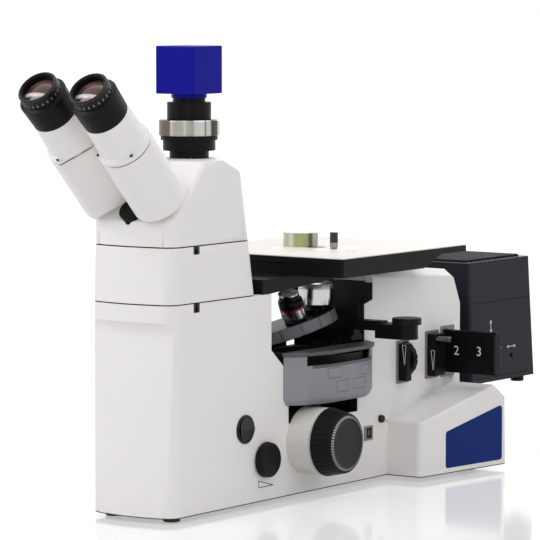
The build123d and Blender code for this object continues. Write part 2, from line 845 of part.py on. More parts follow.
def head_housing():
    plan_low = (riser_top_front_y, riser_top_rear_y)
    plan_high = (riser_top_front_y, head_rear_top_y)
    hull = tower(plan_low, plan_high, half_width, (riser_top_z, port_z), front_corner_r, rear_corner_r)
    shape = hull & side_prism(head_outline(), (-half_width - over, half_width + over))
    knees = shape.edges().filter_by(Axis.X)
    shape = fillet(knees.filter_by(lambda e: riser_top_z + over < e.center().Z), front_corner_r / 2)
    shape += disc_z(0, tube_axis_y, port_boss_r, (head_rear_knee_z, port_z))
    floor_z = riser_top_z + head_floor
    inner = [
        (riser_top_front_y + tower_wall, floor_z), (riser_top_front_y + tower_wall, head_knee_z()),
        (face_y(head_top_z, head_face_w) + tower_wall * 2, head_top_z - tower_wall * 2),
        (head_rear_knee_y - tower_wall * 2, head_top_z - tower_wall * 2),
        (riser_top_rear_y - tower_wall * 2, floor_z),
    ]
    shape -= side_prism(inner, (-half_width + tower_wall, half_width - tower_wall))
    shape -= disc_z(0, tube_axis_y, beam_r, (riser_top_z - over, floor_z + over))
    shape -= disc_z(0, tube_axis_y, port_bore_r, (head_rear_knee_z - tower_wall * 2, port_z + over))
    shape -= local_disc(view_plane, 0, hinge_t, hinge_pin_r + shaft_gap, (head_face_w - tower_wall, over))
    return shape


def binocular_hub():
    """The black hub on the slanted face, turned in one piece with the hinge pin."""
    hub = local_disc(view_plane, 0, hinge_t + hub_shift, hub_r, (head_face_w, -hub_gap))
    hub = chamfer(hub.edges().filter_by(GeomType.CIRCLE).sort_by(Axis.Z)[-1:], edge_round / 2)
    pin_end = (head_face_w - tower_wall + slide_gap, arm_length - edge_round)
    return hub + local_disc(view_plane, 0, hinge_t, hinge_pin_r, pin_end)


def arm_section(side, inset):
    """Section of one arm across the eyepiece axis: flat inside, round outside."""
    r = arm_r - inset
    low, high = radians(arm_bottom_deg), radians(-arm_bottom_deg + 20.0)
    x = eye_half_distance
    start = (x + r * cos(low), r * sin(low))
    end = (x + r * cos(high), r * sin(high))
    arc = ThreePointArc(start, (x + r, 0), end)
    inner = [(px + inset, pt) for px, pt in (arm_inner_top, arm_inner, arm_crease)]
    top_inner = (arm_top_inner[0] + inset, arm_top_inner[1] - inset)
    crease = (inner[2][0], inner[2][1] + inset)
    rest = Polyline(end, top_inner, inner[0], inner[1], crease, start)
    face = make_face([arc, rest])
    return face if side > 0 else mirror(face, Plane.YZ)


def knuckle(side, w):
    """Web and eye that carry an arm on the hinge pin."""
    web = Polygon((0, hinge_t + knuckle_r - seam_depth), (arm_crease[0] + edge_round, arm_crease[1] + edge_round),
                  (arm_crease[0] + knuckle_r, arm_crease[1] - knuckle_r / 2), (0, hinge_t - knuckle_r + seam_depth))
    if side < 0:
        web = mirror(web, Plane.YZ)
    eye = web + Pos(0, hinge_t) * Circle(knuckle_r)
    return view_plane * extrude(Plane.XY.offset(w[0]) * eye, w[1] - w[0], dir=(0, 0, 1))


def prism_arm(side, w):
    shape = view_plane * extrude(arm_section(side, 0), arm_length, dir=(0, 0, 1))
    shape += knuckle(side, w)
    reach = (w[0] - over, w[1] + over)
    return shape - local_disc(view_plane, 0, hinge_t, hinge_pin_r + shaft_gap, reach)


def tube_sleeve(side):
    """Lid screwed on the arm's upper end, with the tapered tube that holds the eyepiece."""
    x = side * eye_half_distance
    lip = extrude(Plane.XY.offset(arm_length) * arm_section(side, seam_depth), seam_depth, dir=(0, 0, 1))
    lid_low, lid_high = arm_length + seam_depth, arm_length + lid_thick
    lid = extrude(Plane.XY.offset(lid_low) * arm_section(side, 0), lid_high - lid_low, dir=(0, 0, 1))
    cone = loft([Plane.XY.offset(lid_high - over) * Pos(x, 0) * Circle(sleeve_foot_r),
                 Plane.XY.offset(sleeve_top_w) * Pos(x, 0) * Circle(sleeve_top_r)])
    cone &= extrude(Plane.XY.offset(arm_length) * arm_section(side, 0), sleeve_top_w, dir=(0, 0, 1))
    shape = view_plane * (lip + lid + cone)
    shape -= local_disc(view_plane, x, 0, eyepiece_stem_r + shaft_gap, (eyepiece_stem_low_w - over, sleeve_top_w + over))
    return shape - local_disc(view_plane, 0, hinge_t, hinge_pin_r + slide_gap, (arm_length - over, lid_high + over))


def eye_plane(side):
    return Plane(origin=view_plane.from_local_coords((side * eye_half_distance, 0, 0)),
                 x_dir=(1, 0, 0), z_dir=view_plane.z_dir)


def eyepiece(side):
    profile = [
        (0, eyepiece_stem_low_w), (eyepiece_stem_r, eyepiece_stem_low_w),
        (eyepiece_stem_r, sleeve_top_w), (eyepiece_low_r, sleeve_top_w),
        (eyepiece_high_r, eyepiece_shoulder_w), (neck_r + edge_round, eyepiece_top_w),
        (neck_r, eyepiece_top_w), (neck_r, ring_high_w - edge_round), (neck_bore_r, ring_high_w - edge_round),
        (neck_bore_r, lens_low_w), (0, lens_low_w),
    ]
    return turned(profile, eye_plane(side))


def diopter_ring(side):
    r = neck_r + shaft_gap
    profile = [
        (r, ring_low_w), (ring_r, ring_low_w), (ring_r, ring_high_w - edge_round),
        (ring_r - edge_round, ring_high_w), (r + edge_round / 2, ring_high_w), (r, ring_high_w - edge_round / 2),
    ]
    return turned(profile, eye_plane(side))


def eye_lens(side):
    profile = make_face([
        Polyline((0, lens_top_w), (0, lens_low_w), (lens_r, lens_low_w), (lens_r, lens_edge_w)),
        dome(lens_r, lens_edge_w, lens_top_w),
    ])
    return eye_plane(side) * revolve(Plane.XZ * profile, Axis.Z)


# Camera port
def port_plane():
    return Plane(origin=(0, tube_axis_y, 0))


def camera_port():
    profile = [
        (port_bore_r, port_z), (port_foot_r, port_z), (port_foot_r, port_foot_top),
        (port_body_r, port_foot_top), (port_body_r, port_body_top), (port_flange_r, port_body_top),
        (port_flange_r, port_flange_top), (port_neck_r, port_flange_top), (port_neck_r, port_neck_top),
        (port_bore_r, port_neck_top),
    ]
    return turned(profile, port_plane())


def camera_clamp_ring():
    low, high = clamp_ring_z
    r = port_neck_r + shaft_gap
    profile = [
        (r, low), (clamp_ring_r - edge_round / 2, low), (clamp_ring_r, low + edge_round / 2),
        (clamp_ring_r, high - edge_round / 2), (clamp_ring_r - edge_round / 2, high), (r, high),
    ]
    return turned(profile, port_plane())


def camera_adapter():
    low, high = adapter_z
    spigot = port_bore_r - shaft_gap
    profile = [
        (spigot - edge_round, adapter_spigot_z), (spigot, adapter_spigot_z), (spigot, low),
        (adapter_r, low), (adapter_r, high), (adapter_thread_r, high), (adapter_thread_r, adapter_top_z),
        (spigot - edge_round, adapter_top_z),
    ]
    return turned(profile, port_plane())


def camera_body():
    half = camera_side / 2
    cube = block((-half, half), (tube_axis_y - half, tube_axis_y + half), (camera_low_z, camera_low_z + camera_side))
    cube = fillet(cube.edges(), camera_round)
    lip = disc_z(0, tube_axis_y, camera_lip_r, (adapter_top_z, camera_low_z + over))
    socket = disc_y(0, camera_low_z + half, socket_r, (tube_axis_y + half - over, tube_axis_y + half + over))
    pin = disc_y(0, camera_low_z + half, socket_r / 3, (tube_axis_y + half - over, tube_axis_y + half - edge_round / 2))
    return cube + lip - socket + pin


# Stage
def stage_slab(inset, z):
    slab = block((-stage_half_x + inset, stage_half_x - inset), (stage_y[0] + inset, stage_y[1] - inset), z)
    return fillet(slab.edges().filter_by(Axis.Z), stage_corner_r)


def stage_plate():
    top = stage_top_z - stage_skin
    low = top - stage_plate_thick
    plate = stage_slab(0, (low, top))
    plate -= disc_z(0, 0, insert_r - insert_ledge, (low - over, top + over))
    return plate - disc_z(0, 0, insert_r + insert_gap, (stage_top_z - insert_thick, top + over))


def stage_top():
    skin = stage_slab(stage_skin / 2, (stage_top_z - stage_skin, stage_top_z))
    skin -= disc_z(0, 0, insert_r + insert_gap, (stage_top_z - over, stage_top_z + over))
    for y in stage_screw_ys:
        skin -= disc_z(stage_screw_x, y, screw_head_r, (stage_top_z - over, stage_top_z + over))
    return skin - disc_z(*post_at, post_r, (stage_top_z - over, stage_top_z + over))


def stage_frame():
    """Black frame under the plate, with a deeper bridge over the bay."""
    high = stage_top_z - stage_skin - stage_plate_thick
    band = stage_slab(stage_frame_step, (column_top_z, high))
    band -= disc_z(0, 0, insert_r, (column_top_z - over, high + over))
    outer_x = (frame_left_x, half_width - edge_round)
    bridge = block(outer_x, (frame_front_y, bay_rear_y + stand_wall), (shelf_z, column_top_z))
    opening = block((frame_left_x + frame_left_wall, frame_right_x),
                    (frame_front_wall_y, bay_rear_y + stand_wall + over), (shelf_z - over, column_top_z + over))
    shelf_strip = block(outer_x, (frame_front_y, stage_y[0] + stage_frame_step + over),
                        (column_top_z - over, column_top_z))
    return band + (bridge + shelf_strip - opening)


def stage_insert():
    ring = disc_z(0, 0, insert_r, (stage_top_z - insert_thick, stage_top_z))
    ring = chamfer(ring.edges().group_by(Axis.Z)[-1], stage_skin / 3)
    return ring - disc_z(0, 0, insert_hole_r, (stage_top_z - insert_thick - over, stage_top_z + over))


def specimen():
    disc = disc_z(*specimen_at, specimen_r, (stage_top_z, stage_top_z + specimen_high))
    return chamfer(disc.edges().group_by(Axis.Z)[-1], edge_round / 3)


def clamp_post():
    x, y = post_at
    low = stage_top_z - stage_skin
    shape = disc_z(x, y, post_r - slide_gap, (stage_top_z, stage_top_z + post_head_step))
    return shape + disc_z(x, y, post_r, (stage_top_z + post_head_step, stage_top_z + post_head_step + post_head_high))


# Nosepiece
def objective_plane(index):
    """Seat of one objective: its axis leans out from the turret's own axis by the turret's tilt."""
    angle = radians(360.0 / objective_count * index)
    radial = turret_rise * cos(angle) + turret_plane.y_dir * sin(angle)
    across = turret_plane.y_dir * cos(angle) - turret_rise * sin(angle)
    axis = turret_normal * cos(tilt) + radial * sin(tilt)
    return Plane(origin=turret_centre + radial * seat_circle_r, x_dir=across, z_dir=axis)


objective_profiles = {
    "objective_active": ((12.0, 0.0), (12.0, 4.0), (14.5, 9.0), (17.3, 10.5), (17.3, 28.5), (16.4, 29.2),
                         (16.4, 33.0), (13.0, 35.5), (7.0, 35.5), (6.0, 34.5)),
    "objective_red_ring": ((11.5, 0.0), (11.5, 5.0), (13.0, 9.0), (13.0, 25.0), (12.4, 25.6), (12.4, 28.0),
                           (10.5, 30.0), (10.5, 36.0), (5.5, 36.0), (5.0, 35.0)),
    "objectives_slender": ((11.0, 0.0), (11.0, 6.0), (11.8, 8.0), (11.8, 24.0), (9.0, 29.0), (8.0, 35.5),
                           (4.5, 35.5), (4.0, 34.5)),
}


def objective(name, index):
    profile = list(objective_profiles[name])
    return turned([(0, profile[0][1])] + profile + [(0, profile[-1][1])], objective_plane(index))


def objective_group(name, indices):
    return [objective(name, k) for k in indices]


def nosepiece_turret():
    disc = local_disc(turret_plane, 0, 0, turret_r, (-turret_thick, 0))
    disc = chamfer(disc.edges(), edge_round / 2)
    for k in range(objective_count):
        plane = objective_plane(k)
        disc -= local_disc(plane, 0, 0, objective_profiles["objective_active"][1][0] + edge_round, (0, turret_r))
        disc -= local_disc(plane, 0, 0, light_hole_r, (-turret_r / 2, over))
    return disc + local_disc(turret_plane, 0, 0, turret_pin_r, (-turret_pin_long, -turret_thick))


def nosepiece_carrier():
    """Bearing plate under the turret, with the slot for the analyser slider and the arm to the rack."""
    under = -turret_thick - turret_gap
    shape = local_disc(turret_plane, 0, 0, carrier_r, (under - carrier_thick, under))
    shape += block(slider_block_x, (-slider_block_y, slider_block_y), slider_block_z)
    shape += block(carrier_post_x, carrier_post_y, (carrier_arm_z[0], slider_block_z[0] - over))
    shape += block((carrier_post_x[0] + over, carrier_arm_x[1] - edge_round * 2),
                   (carrier_arm_y, carrier_post_y[1]), carrier_arm_z)
    shape += block(carrier_arm_x, (carrier_arm_y, rack_back_y), carrier_arm_z)
    shape -= local_disc(turret_plane, 0, 0, turret_pin_r + shaft_gap, (-turret_pin_long - over * 2, 0))
    shape -= local_disc(turret_plane, 0, 0, turret_r + over, (under, under + turret_thick + over * 3))
    shape -= block((slider_block_x[0] - over, slider_block_x[1] + over), (-tongue_y - slide_gap, tongue_y + slide_gap),
                   (tongue_z[0] - slide_gap, tongue_z[1] + slide_gap))
    shape -= disc_z(0, 0, tongue_hole_r, (slider_block_z[0] - over, seat_z))
    return shape


def tooth_flank_width(distance):
    """Half the width of a rack tooth at a distance outside its pitch line."""
    return tooth_module * 3.14159265 / 4 - backlash / 4 - distance * tan(radians(pressure_angle))


def focus_rack():
    """Rack bar under the carrier's arm, toothed on the side of the pinion."""
    tip = tooth_module * addendum_share
    root = tooth_module * dedendum_share
    shape = block(rack_x, (rack_pitch_y + root, rack_back_y), (rack_z[0], carrier_arm_z[0]))
    pitch = tooth_module * 3.14159265
    count = int((rack_z[1] - focus_z - pitch) / pitch)
    for k in range(-int((focus_z - rack_z[0] - pitch) / pitch), count + 1):
        middle = focus_z + (k + 0.5) * pitch
        tip_half, root_half = tooth_flank_width(tip), tooth_flank_width(-root)
        outline = [(rack_pitch_y + root + edge_round, middle - root_half), (rack_pitch_y + root, middle - root_half),
                   (rack_pitch_y - tip, middle - tip_half), (rack_pitch_y - tip, middle + tip_half),
                   (rack_pitch_y + root, middle + root_half), (rack_pitch_y + root + edge_round, middle + root_half)]
        shape += side_prism(outline, rack_x)
    return shape


def pinion_outline():
    """Involute teeth; the first tooth stands on the rack's side, at the pinion's own height."""
    base_r = pinion_pitch_r * cos(radians(pressure_angle))
    tip_r = pinion_pitch_r + tooth_module * addendum_share
    root_r = pinion_pitch_r - tooth_module * dedendum_share
    step_angle = 2 * 3.14159265 / pinion_teeth
    involute_pitch = tan(radians(pressure_angle)) - radians(pressure_angle)
    half = step_angle / 4 - backlash / 4 / pinion_pitch_r + involute_pitch
    radii = [base_r, base_r + (tip_r - base_r) / 3, base_r + (tip_r - base_r) * 2 / 3, tip_r]
    points = []
    for k in range(pinion_teeth):
        middle = k * step_angle
        flank = []
        for r in radii:
            unroll = (max((r / base_r) ** 2 - 1, 0)) ** 0.5
            lean = unroll - atan_of(unroll)
            flank.append((r, half - lean))
        lower = [(root_r, half)] + flank
        points += [(r * cos(middle - a), r * sin(middle - a)) for r, a in lower]
        points += [(r * cos(middle + a), r * sin(middle + a)) for r, a in reversed(lower)]
    return points


def atan_of(value):
    return Vector(1, value, 0).get_signed_angle(Vector(1, 0, 0), Vector(0, 0, -1)) * 3.14159265 / 180.0


def coarse_shaft():
    tube = disc_x(focus_y, focus_z, coarse_shaft_r, (-coarse_recess_x, coarse_recess_x))
    gear = [(focus_y + a, focus_z + b) for a, b in pinion_outline()]
    tube += side_prism(gear, (rack_x[0] + slide_gap, rack_x[1] - slide_gap))
    return tube - disc_x(focus_y, focus_z, fine_shaft_r + shaft_gap, (-coarse_end_x, coarse_end_x))


def coarse_knob():
    profile = [
        (coarse_shaft_r, coarse_start_x), (coarse_back_r - edge_round, coarse_start_x),
        (coarse_back_r, coarse_start_x + edge_round), (coarse_front_r, coarse_end_x - edge_round),
        (coarse_front_r - edge_round / 2, coarse_end_x), (coarse_recess_r, coarse_end_x),
        (coarse_recess_r, coarse_recess_x), (coarse_shaft_r, coarse_recess_x),
    ]
    knob = turned(profile, drive_plane())
    slope = (coarse_back_r - coarse_front_r) / (coarse_end_x - coarse_start_x)
    middle = (coarse_start_x + coarse_end_x) / 2
    for k in range(rib_count):
        angle = 360.0 / rib_count * k
        radius = (coarse_back_r + coarse_front_r) / 2 + rib_r / 2
        groove = Pos(0, 0, coarse_start_x - over) * Cylinder(
            rib_r, coarse_end_x - coarse_start_x + over * 3, align=(Align.CENTER, Align.CENTER, Align.MIN))
        groove = Rot(0, 0, angle) * (Pos(radius + slope * middle, 0, 0) * tilted(groove, slope))
        knob -= drive_plane() * groove
    return knob


def tilted(groove, slope):
    """A groove laid along the knob's taper."""
    shear = Vector(-slope, 0, 1)
    plane = Plane(origin=(0, 0, 0), x_dir=(1, 0, slope), z_dir=shear)
    return plane * groove


def drive_plane():
    return Plane(origin=(0, focus_y, focus_z), x_dir=(0, 1, 0), z_dir=(1, 0, 0))


def coarse_knobs():
    return both_sides(coarse_knob())


def fine_drive():
    """Inner shaft with a knurled disc at each end."""
    low, high = fine_x
    profile = [
        (fine_shaft_r / 2, low), (fine_r, low), (fine_r, high - edge_round), (fine_r - edge_round, high),
        (fine_r - edge_round * 3, high), (fine_r - edge_round * 4, high - edge_round / 2),
        (fine_shaft_r / 2, high - edge_round / 2),
    ]
    disc = turned(profile, drive_plane())
    shaft = disc_x(focus_y, focus_z, fine_shaft_r, (-low, low))
    core = disc_x(focus_y, focus_z, fine_shaft_r / 2, (-high + edge_round, high - edge_round))
    return shaft + core + disc + mirror(disc, Plane.YZ)


def focus_collars():
    profile = [
        (coarse_shaft_r + shaft_gap, half_width), (collar_r, half_width), (collar_r, collar_end_x - edge_round * 2),
        (collar_r - edge_round * 2, collar_end_x), (coarse_shaft_r + shaft_gap, collar_end_x),
    ]
    return both_sides(turned(profile, drive_plane()))


# Reflector turret and cover
def reflector_turret():
    """Knurled wheel with a stand for each of its filter cubes."""
    x, y = wheel_at
    low, high = wheel_z
    wheel = disc_z(x, y, wheel_r, wheel_z)
    wheel -= disc_z(x, y, wheel_r - wheel_rim, (low + wheel_web_thick, high + over))
    wheel += disc_z(x, y, wheel_axle_r * 2, (low, high))
    wheel += disc_z(x, y, wheel_axle_r, (bay_floor_z + slide_gap, low))
    wheel += disc_z(x, y, wheel_axle_r / 2, (bay_floor_z - over, low))
    reach = hypot(x, y)
    start = Vector(-x, -y, 0)
    heading = Vector(1, 0, 0).get_signed_angle(start, Vector(0, 0, 1))
    for k in range(cube_count):
        place = Pos(x, y, 0) * Rot(0, 0, heading + 360.0 / cube_count * k) * Pos(reach, 0, 0)
        half = cube_side / 2
        cube = block((-half, half), (-half, half), (cube_low_z, low))
        cube -= disc_z(0, 0, tongue_hole_r, (cube_low_z - over, high + over))
        cube -= disc_x(0, lamp_axis_z, tongue_hole_r, (-half - over, half + over))
        wheel += place * cube
        wheel -= place * disc_z(0, 0, tongue_hole_r, (cube_low_z - over, high + over))
    return wheel


def cover_plan(inset, inner_x):
    """Plan of the reflector cover: a straight side between two slanted corners."""
    plan = Polygon((0, cover_front_y), (half_width, cover_front_y), *cover_outline,
                   (half_width, cover_rear_y), (0, cover_rear_y))
    outer = plan.vertices().filter_by(lambda v: v.X > half_width + over)
    plan = fillet(outer, cover_corner_r)
    if inset:
        plan = offset(plan, -inset, kind=Kind.INTERSECTION)
    reach = cover_rear_y - cover_front_y
    middle_y = (cover_rear_y + cover_front_y) / 2
    return plan & (Pos(inner_x + reach / 2, middle_y) * Rectangle(reach, reach * 2))


def reflector_cover():
    low, high = cover_z
    foot = loft([Plane.XY.offset(low) * cover_plan(cover_chamfer / 2, half_width),
                 Plane.XY.offset(low + cover_chamfer) * cover_plan(0, half_width)])
    wall = extrude(Plane.XY.offset(low + cover_chamfer) * cover_plan(0, half_width),
                   high - low - cover_chamfer, dir=(0, 0, 1))
    rim = extrude(Plane.XY.offset(high - cover_rim_high) * cover_plan(-cover_rim, half_width),
                  cover_rim_high, dir=(0, 0, 1))
    shape = foot + wall + rim
    shape -= extrude(Plane.XY.offset(low + cover_wall) * cover_plan(cover_wall + cover_chamfer / 2, half_width - over),
                     cover_chamfer, dir=(0, 0, 1))
    shape -= extrude(Plane.XY.offset(low + cover_chamfer) * cover_plan(cover_wall, half_width - over),
                     high - low - cover_chamfer - cover_wall, dir=(0, 0, 1))
    shape -= block((half_width + cover_wall, cover_outer_x + over * 2), cover_slot_y, cover_slot_z)
    return shape


# Side controls
def intensity_knob():
    face = half_width + rim_gap
    profile = [(0, face), (dial_r - edge_round, face), (dial_r, face + edge_round),
               (dial_r - edge_round / 2, dial_end_x - edge_round), (dial_r - edge_round * 1.5, dial_end_x), (0, dial_end_x)]
    plane = Plane(origin=(0, dial_y, dial_z), x_dir=(0, 1, 0), z_dir=(1, 0, 0))
    knob = turned(profile, plane)
    knob -= disc_x(dial_y, dial_z + dial_r + edge_round * 2, edge_round * 4, (dial_end_x - edge_round * 4, dial_end_x + over))
    return knob + disc_x(dial_y, dial_z, fine_shaft_r, (shoulder_x - over / 2, face))


def switch_bezels():
    """Round bezel of the rocker and the small square frame further back."""
    ring = disc_x(rocker_y, rocker_z, bezel_r, (half_width, half_width + bezel_thick))
    ring = chamfer(ring.edges().group_by(Axis.X)[-1], edge_round / 2)
    ring -= disc_x(rocker_y, rocker_z, bezel_r - bezel_thick, (half_width - over, half_width + bezel_thick + over))
    half_y, half_z = switch_frame[0] / 2, switch_frame[1] / 2
    frame = block((half_width, half_width + switch_wall), (switch_y - half_y, switch_y + half_y),
                  (switch_z - half_z, switch_z + half_z))
    inner = block((half_width - switch_wall * 2, half_width + switch_wall / 2),
                  (switch_y - half_y + switch_wall, switch_y + half_y - switch_wall),
                  (switch_z - half_z + switch_wall, switch_z + half_z - switch_wall))
    opening = block((half_width + switch_wall / 2, half_width + over),
                    (switch_y - half_y + switch_wall, switch_y + half_y - switch_wall),
                    (switch_z - half_z + switch_wall, switch_z + half_z - switch_wall))
    return [ring, frame + inner - opening]


def two_position_rocker():
    """Round rocker with two shallow ends, on a pin that runs fore and aft."""
    x = half_width
    cap = disc_x(rocker_y, rocker_z, rocker_r, (x - edge_round, x + rocker_out))
    for k in (-1, 1):
        slope = side_wedge(k)
        cap -= slope
    return cap + disc_x(rocker_y, rocker_z, rocker_body_r, (x - rocker_body_deep, x))


def side_wedge(k):
    """Slanted cut that leaves the rocker's middle proud of one end."""
    x = half_width
    face = x + rocker_out
    outline = [(face + over, rocker_z), (face, rocker_z + k * edge_round),
               (face - rocker_out / 2, rocker_z + k * rocker_r), (face + over, rocker_z + k * rocker_r)]
    plane = Plane(origin=(0, rocker_y + rocker_r, 0), x_dir=(1, 0, 0), z_dir=(0, -1, 0))
    return extrude(plane * Polygon(*outline), rocker_r * 2, dir=(0, -1, 0))


def push_button():
    pin = disc_x(button_y, button_z, button_r, (half_width - button_in, half_width + button_out))
    return fillet(pin.edges().group_by(Axis.X)[-1], edge_round / 2)


# Modules of the rear column
def module_frames():
    frames = []
    for y, z in ((aperture_frame_y, aperture_frame_z), (stop_frame_y, stop_frame_z), (slider_frame_y, slider_frame_z)):
        frame = block((half_width, half_width + frame_thick), y, z)
        frame = fillet(frame.edges().filter_by(Axis.X), edge_round)
        inner_y = (y[0] + frame_border, y[1] - frame_border)
        inner_z = (z[0] + frame_border, z[1] - frame_border)
        if y is slider_frame_y:
            inner_y = (filter_y[0] - slide_gap, filter_y[1] + slide_gap)
            inner_z = (filter_z[0] - slide_gap, filter_z[1] + slide_gap)
        frames.append(frame - block((half_width - over, half_width + over), inner_y, inner_z))
    return frames


def module_body(y, z):
    return block((module_deep_x, module_face_x), (y[0] + frame_border + slide_gap / 2, y[1] - frame_border - slide_gap / 2),
                 (z[0] + frame_border + slide_gap / 2, z[1] - frame_border - slide_gap / 2))


def diaphragm_modules():
    """Black inserts: the aperture stop with room for its thumbwheel, and the field stop."""
    aperture = module_body(aperture_frame_y, aperture_frame_z)
    aperture -= disc_x_slot()
    stop = module_body(stop_frame_y, stop_frame_z)
    shapes = []
    for body, y in ((aperture, aperture_frame_y), (stop, stop_frame_y)):
        shapes.append(body - disc_y(0, lamp_axis_z, module_beam_r, (y[0] - over, y[1] + over)))
    shapes[0] -= disc_y(thumbwheel_x, lamp_axis_z, thumbwheel_axle_r + shaft_gap,
                        (thumbwheel_y[0] - thumbwheel_axle_deep - slide_gap, thumbwheel_y[1]))
    shapes[1] -= disc_x(stop_pin_y, stop_pin_z, stop_pin_r / 2 + shaft_gap, (shoulder_x, module_face_x + over))
    return shapes


def disc_x_slot():
    """Room for the thumbwheel behind the aperture module's front plate."""
    reach = thumbwheel_r + rim_gap
    return block((thumbwheel_x - reach, module_face_x + over), (thumbwheel_y[0] - rim_gap, thumbwheel_y[1] + over),
                 (lamp_axis_z - reach * 2, lamp_axis_z + reach * 2))


def aperture_wheel():
    wheel = disc_y(thumbwheel_x, lamp_axis_z, thumbwheel_r, thumbwheel_y)
    for k in range(rib_count // 2):
        angle = radians(720.0 / rib_count * k)
        wheel -= disc_y(thumbwheel_x + thumbwheel_r * cos(angle), lamp_axis_z + thumbwheel_r * sin(angle), rib_r / 2,
                        (thumbwheel_y[0] - over, thumbwheel_y[1] + over))
    return wheel + disc_y(thumbwheel_x, lamp_axis_z, thumbwheel_axle_r,
                          (thumbwheel_y[0] - thumbwheel_axle_deep, thumbwheel_y[0]))


def field_stop_screw():
    plane = Plane(origin=(0, stop_pin_y, stop_pin_z), x_dir=(0, 1, 0), z_dir=(1, 0, 0))
    face = module_face_x + slide_gap
    profile = [(0, shoulder_x + over), (stop_pin_r / 2, shoulder_x + over), (stop_pin_r / 2, face),
               (stop_pin_r, face), (stop_pin_r, stop_pin_end_x - edge_round / 2),
               (stop_pin_r - edge_round / 2, stop_pin_end_x), (0, stop_pin_end_x)]
    return turned(profile, plane)


def filter_slider():
    plate = block(filter_x, filter_y, filter_z)
    grip = block((filter_grip_x, filter_x[1]), (filter_y[0] - filter_grip_out, filter_y[1] + filter_grip_out),
                 (filter_z[0] + filter_grip_short, filter_z[1] - filter_grip_short))
    plate += fillet(grip.edges().filter_by(Axis.Z), edge_round)
    for k in (-1, 0):
        plate -= disc_y(k * filter_pitch, lamp_axis_z, filter_hole_r, (filter_y[0] - over, filter_y[1] + over))
    return plate


# Analyser slider
def analyser_slider():
    """Flat tongue in the carrier, a step up to the bar, and the holder of the round knob."""
    tongue = block((tongue_end_x, analyser_step_x[1]), (-tongue_y, tongue_y), tongue_z)
    tongue -= disc_z(0, 0, tongue_hole_r, (tongue_z[0] - over, tongue_z[1] + over))
    step = block(analyser_step_x, (-analyser_bar_y, analyser_bar_y), (tongue_z[0], analyser_bar_z[1]))
    bar = block((analyser_step_x[0], analyser_holder_x[0] + over), (-analyser_bar_y, analyser_bar_y), analyser_bar_z)
    holder = block(analyser_holder_x, (-analyser_holder_y, analyser_holder_y), analyser_holder_z)
    holder += disc_z(analyser_holder_x[1], 0, analyser_holder_y, analyser_holder_z)
    shape = tongue + step + bar + holder
    bore = (analyser_holder_z[1] - analyser_stub_deep - slide_gap, analyser_holder_z[1] + over)
    shape -= disc_z(analyser_holder_x[1], 0, analyser_knob_r + rim_gap,
                    (analyser_holder_z[1], analyser_knob_top_z))
    return shape - disc_z(analyser_holder_x[1], 0, analyser_stub_r + shaft_gap, bore)


def analyser_knob():
    x = analyser_holder_x[1]
    low, high = analyser_holder_z[1] + slide_gap, analyser_knob_top_z
    cap = disc_z(x, 0, analyser_knob_r, (low, high))
    cap = chamfer(cap.edges().group_by(Axis.Z)[-1], edge_round / 2)
    return cap + disc_z(x, 0, analyser_stub_r, (analyser_holder_z[1] - analyser_stub_deep, low))


# Lamp
def lamp_shape(inset):
    """The lamp housing's outer form, or its hollow."""
    half_low, half_top = lamp_half_low - inset, lamp_half_top - inset
    low = Plane.XY.offset(lamp_z[0] + inset) * Polygon(
        (-half_low, lamp_low_y[0] + inset), (half_low, lamp_low_y[0] + inset),
        (half_low, lamp_low_y[1] - inset), (-half_low, lamp_low_y[1] - inset))
    high = Plane.XY.offset(lamp_z[1] - inset) * Polygon(
        (-half_top, lamp_top_y[0] + inset), (half_top, lamp_top_y[0] + inset),
        (half_top, lamp_top_y[1] - inset), (-half_top, lamp_top_y[1] - inset))
    return loft([low, high])


def door_region(gap, depth):
    """Slab of the right side wall between the door's edges."""
    inner = lamp_shape(depth)
    window = block((0, lamp_half_low + over), (door_y[0] + gap, door_y[1] - gap), (door_z[0] + gap, door_z[1] - gap))
    return window, inner


def lamp_door():
    window, _ = door_region(door_seam, 0)
    outer = lamp_shape(0) & window
    inner = lamp_inner_side(door_depth)
    door = outer - inner
    for y, z in adjuster_places:
        door -= disc_x(y, z, adjuster_r, (0, lamp_half_low + over))
    return door


def lamp_inner_side(depth):
    """Everything to the left of a plane parallel to the right side wall."""
    reach = lamp_low_y[1] + over
    outline = [(-lamp_half_low * 2, lamp_z[0] - over), (side_x(lamp_z[0] - over) - depth, lamp_z[0] - over),
               (side_x(lamp_z[1] + over) - depth, lamp_z[1] + over), (-lamp_half_low * 2, lamp_z[1] + over)]
    plane = Plane(origin=(0, 0, 0), x_dir=(1, 0, 0), z_dir=(0, -1, 0))
    return extrude(plane * Polygon(*outline), reach, dir=(0, 1, 0))


def side_x(z):
    """X of the lamp's right side wall at a height."""
    share = (z - lamp_z[0]) / (lamp_z[1] - lamp_z[0])
    return lamp_half_low + (lamp_half_top - lamp_half_low) * share


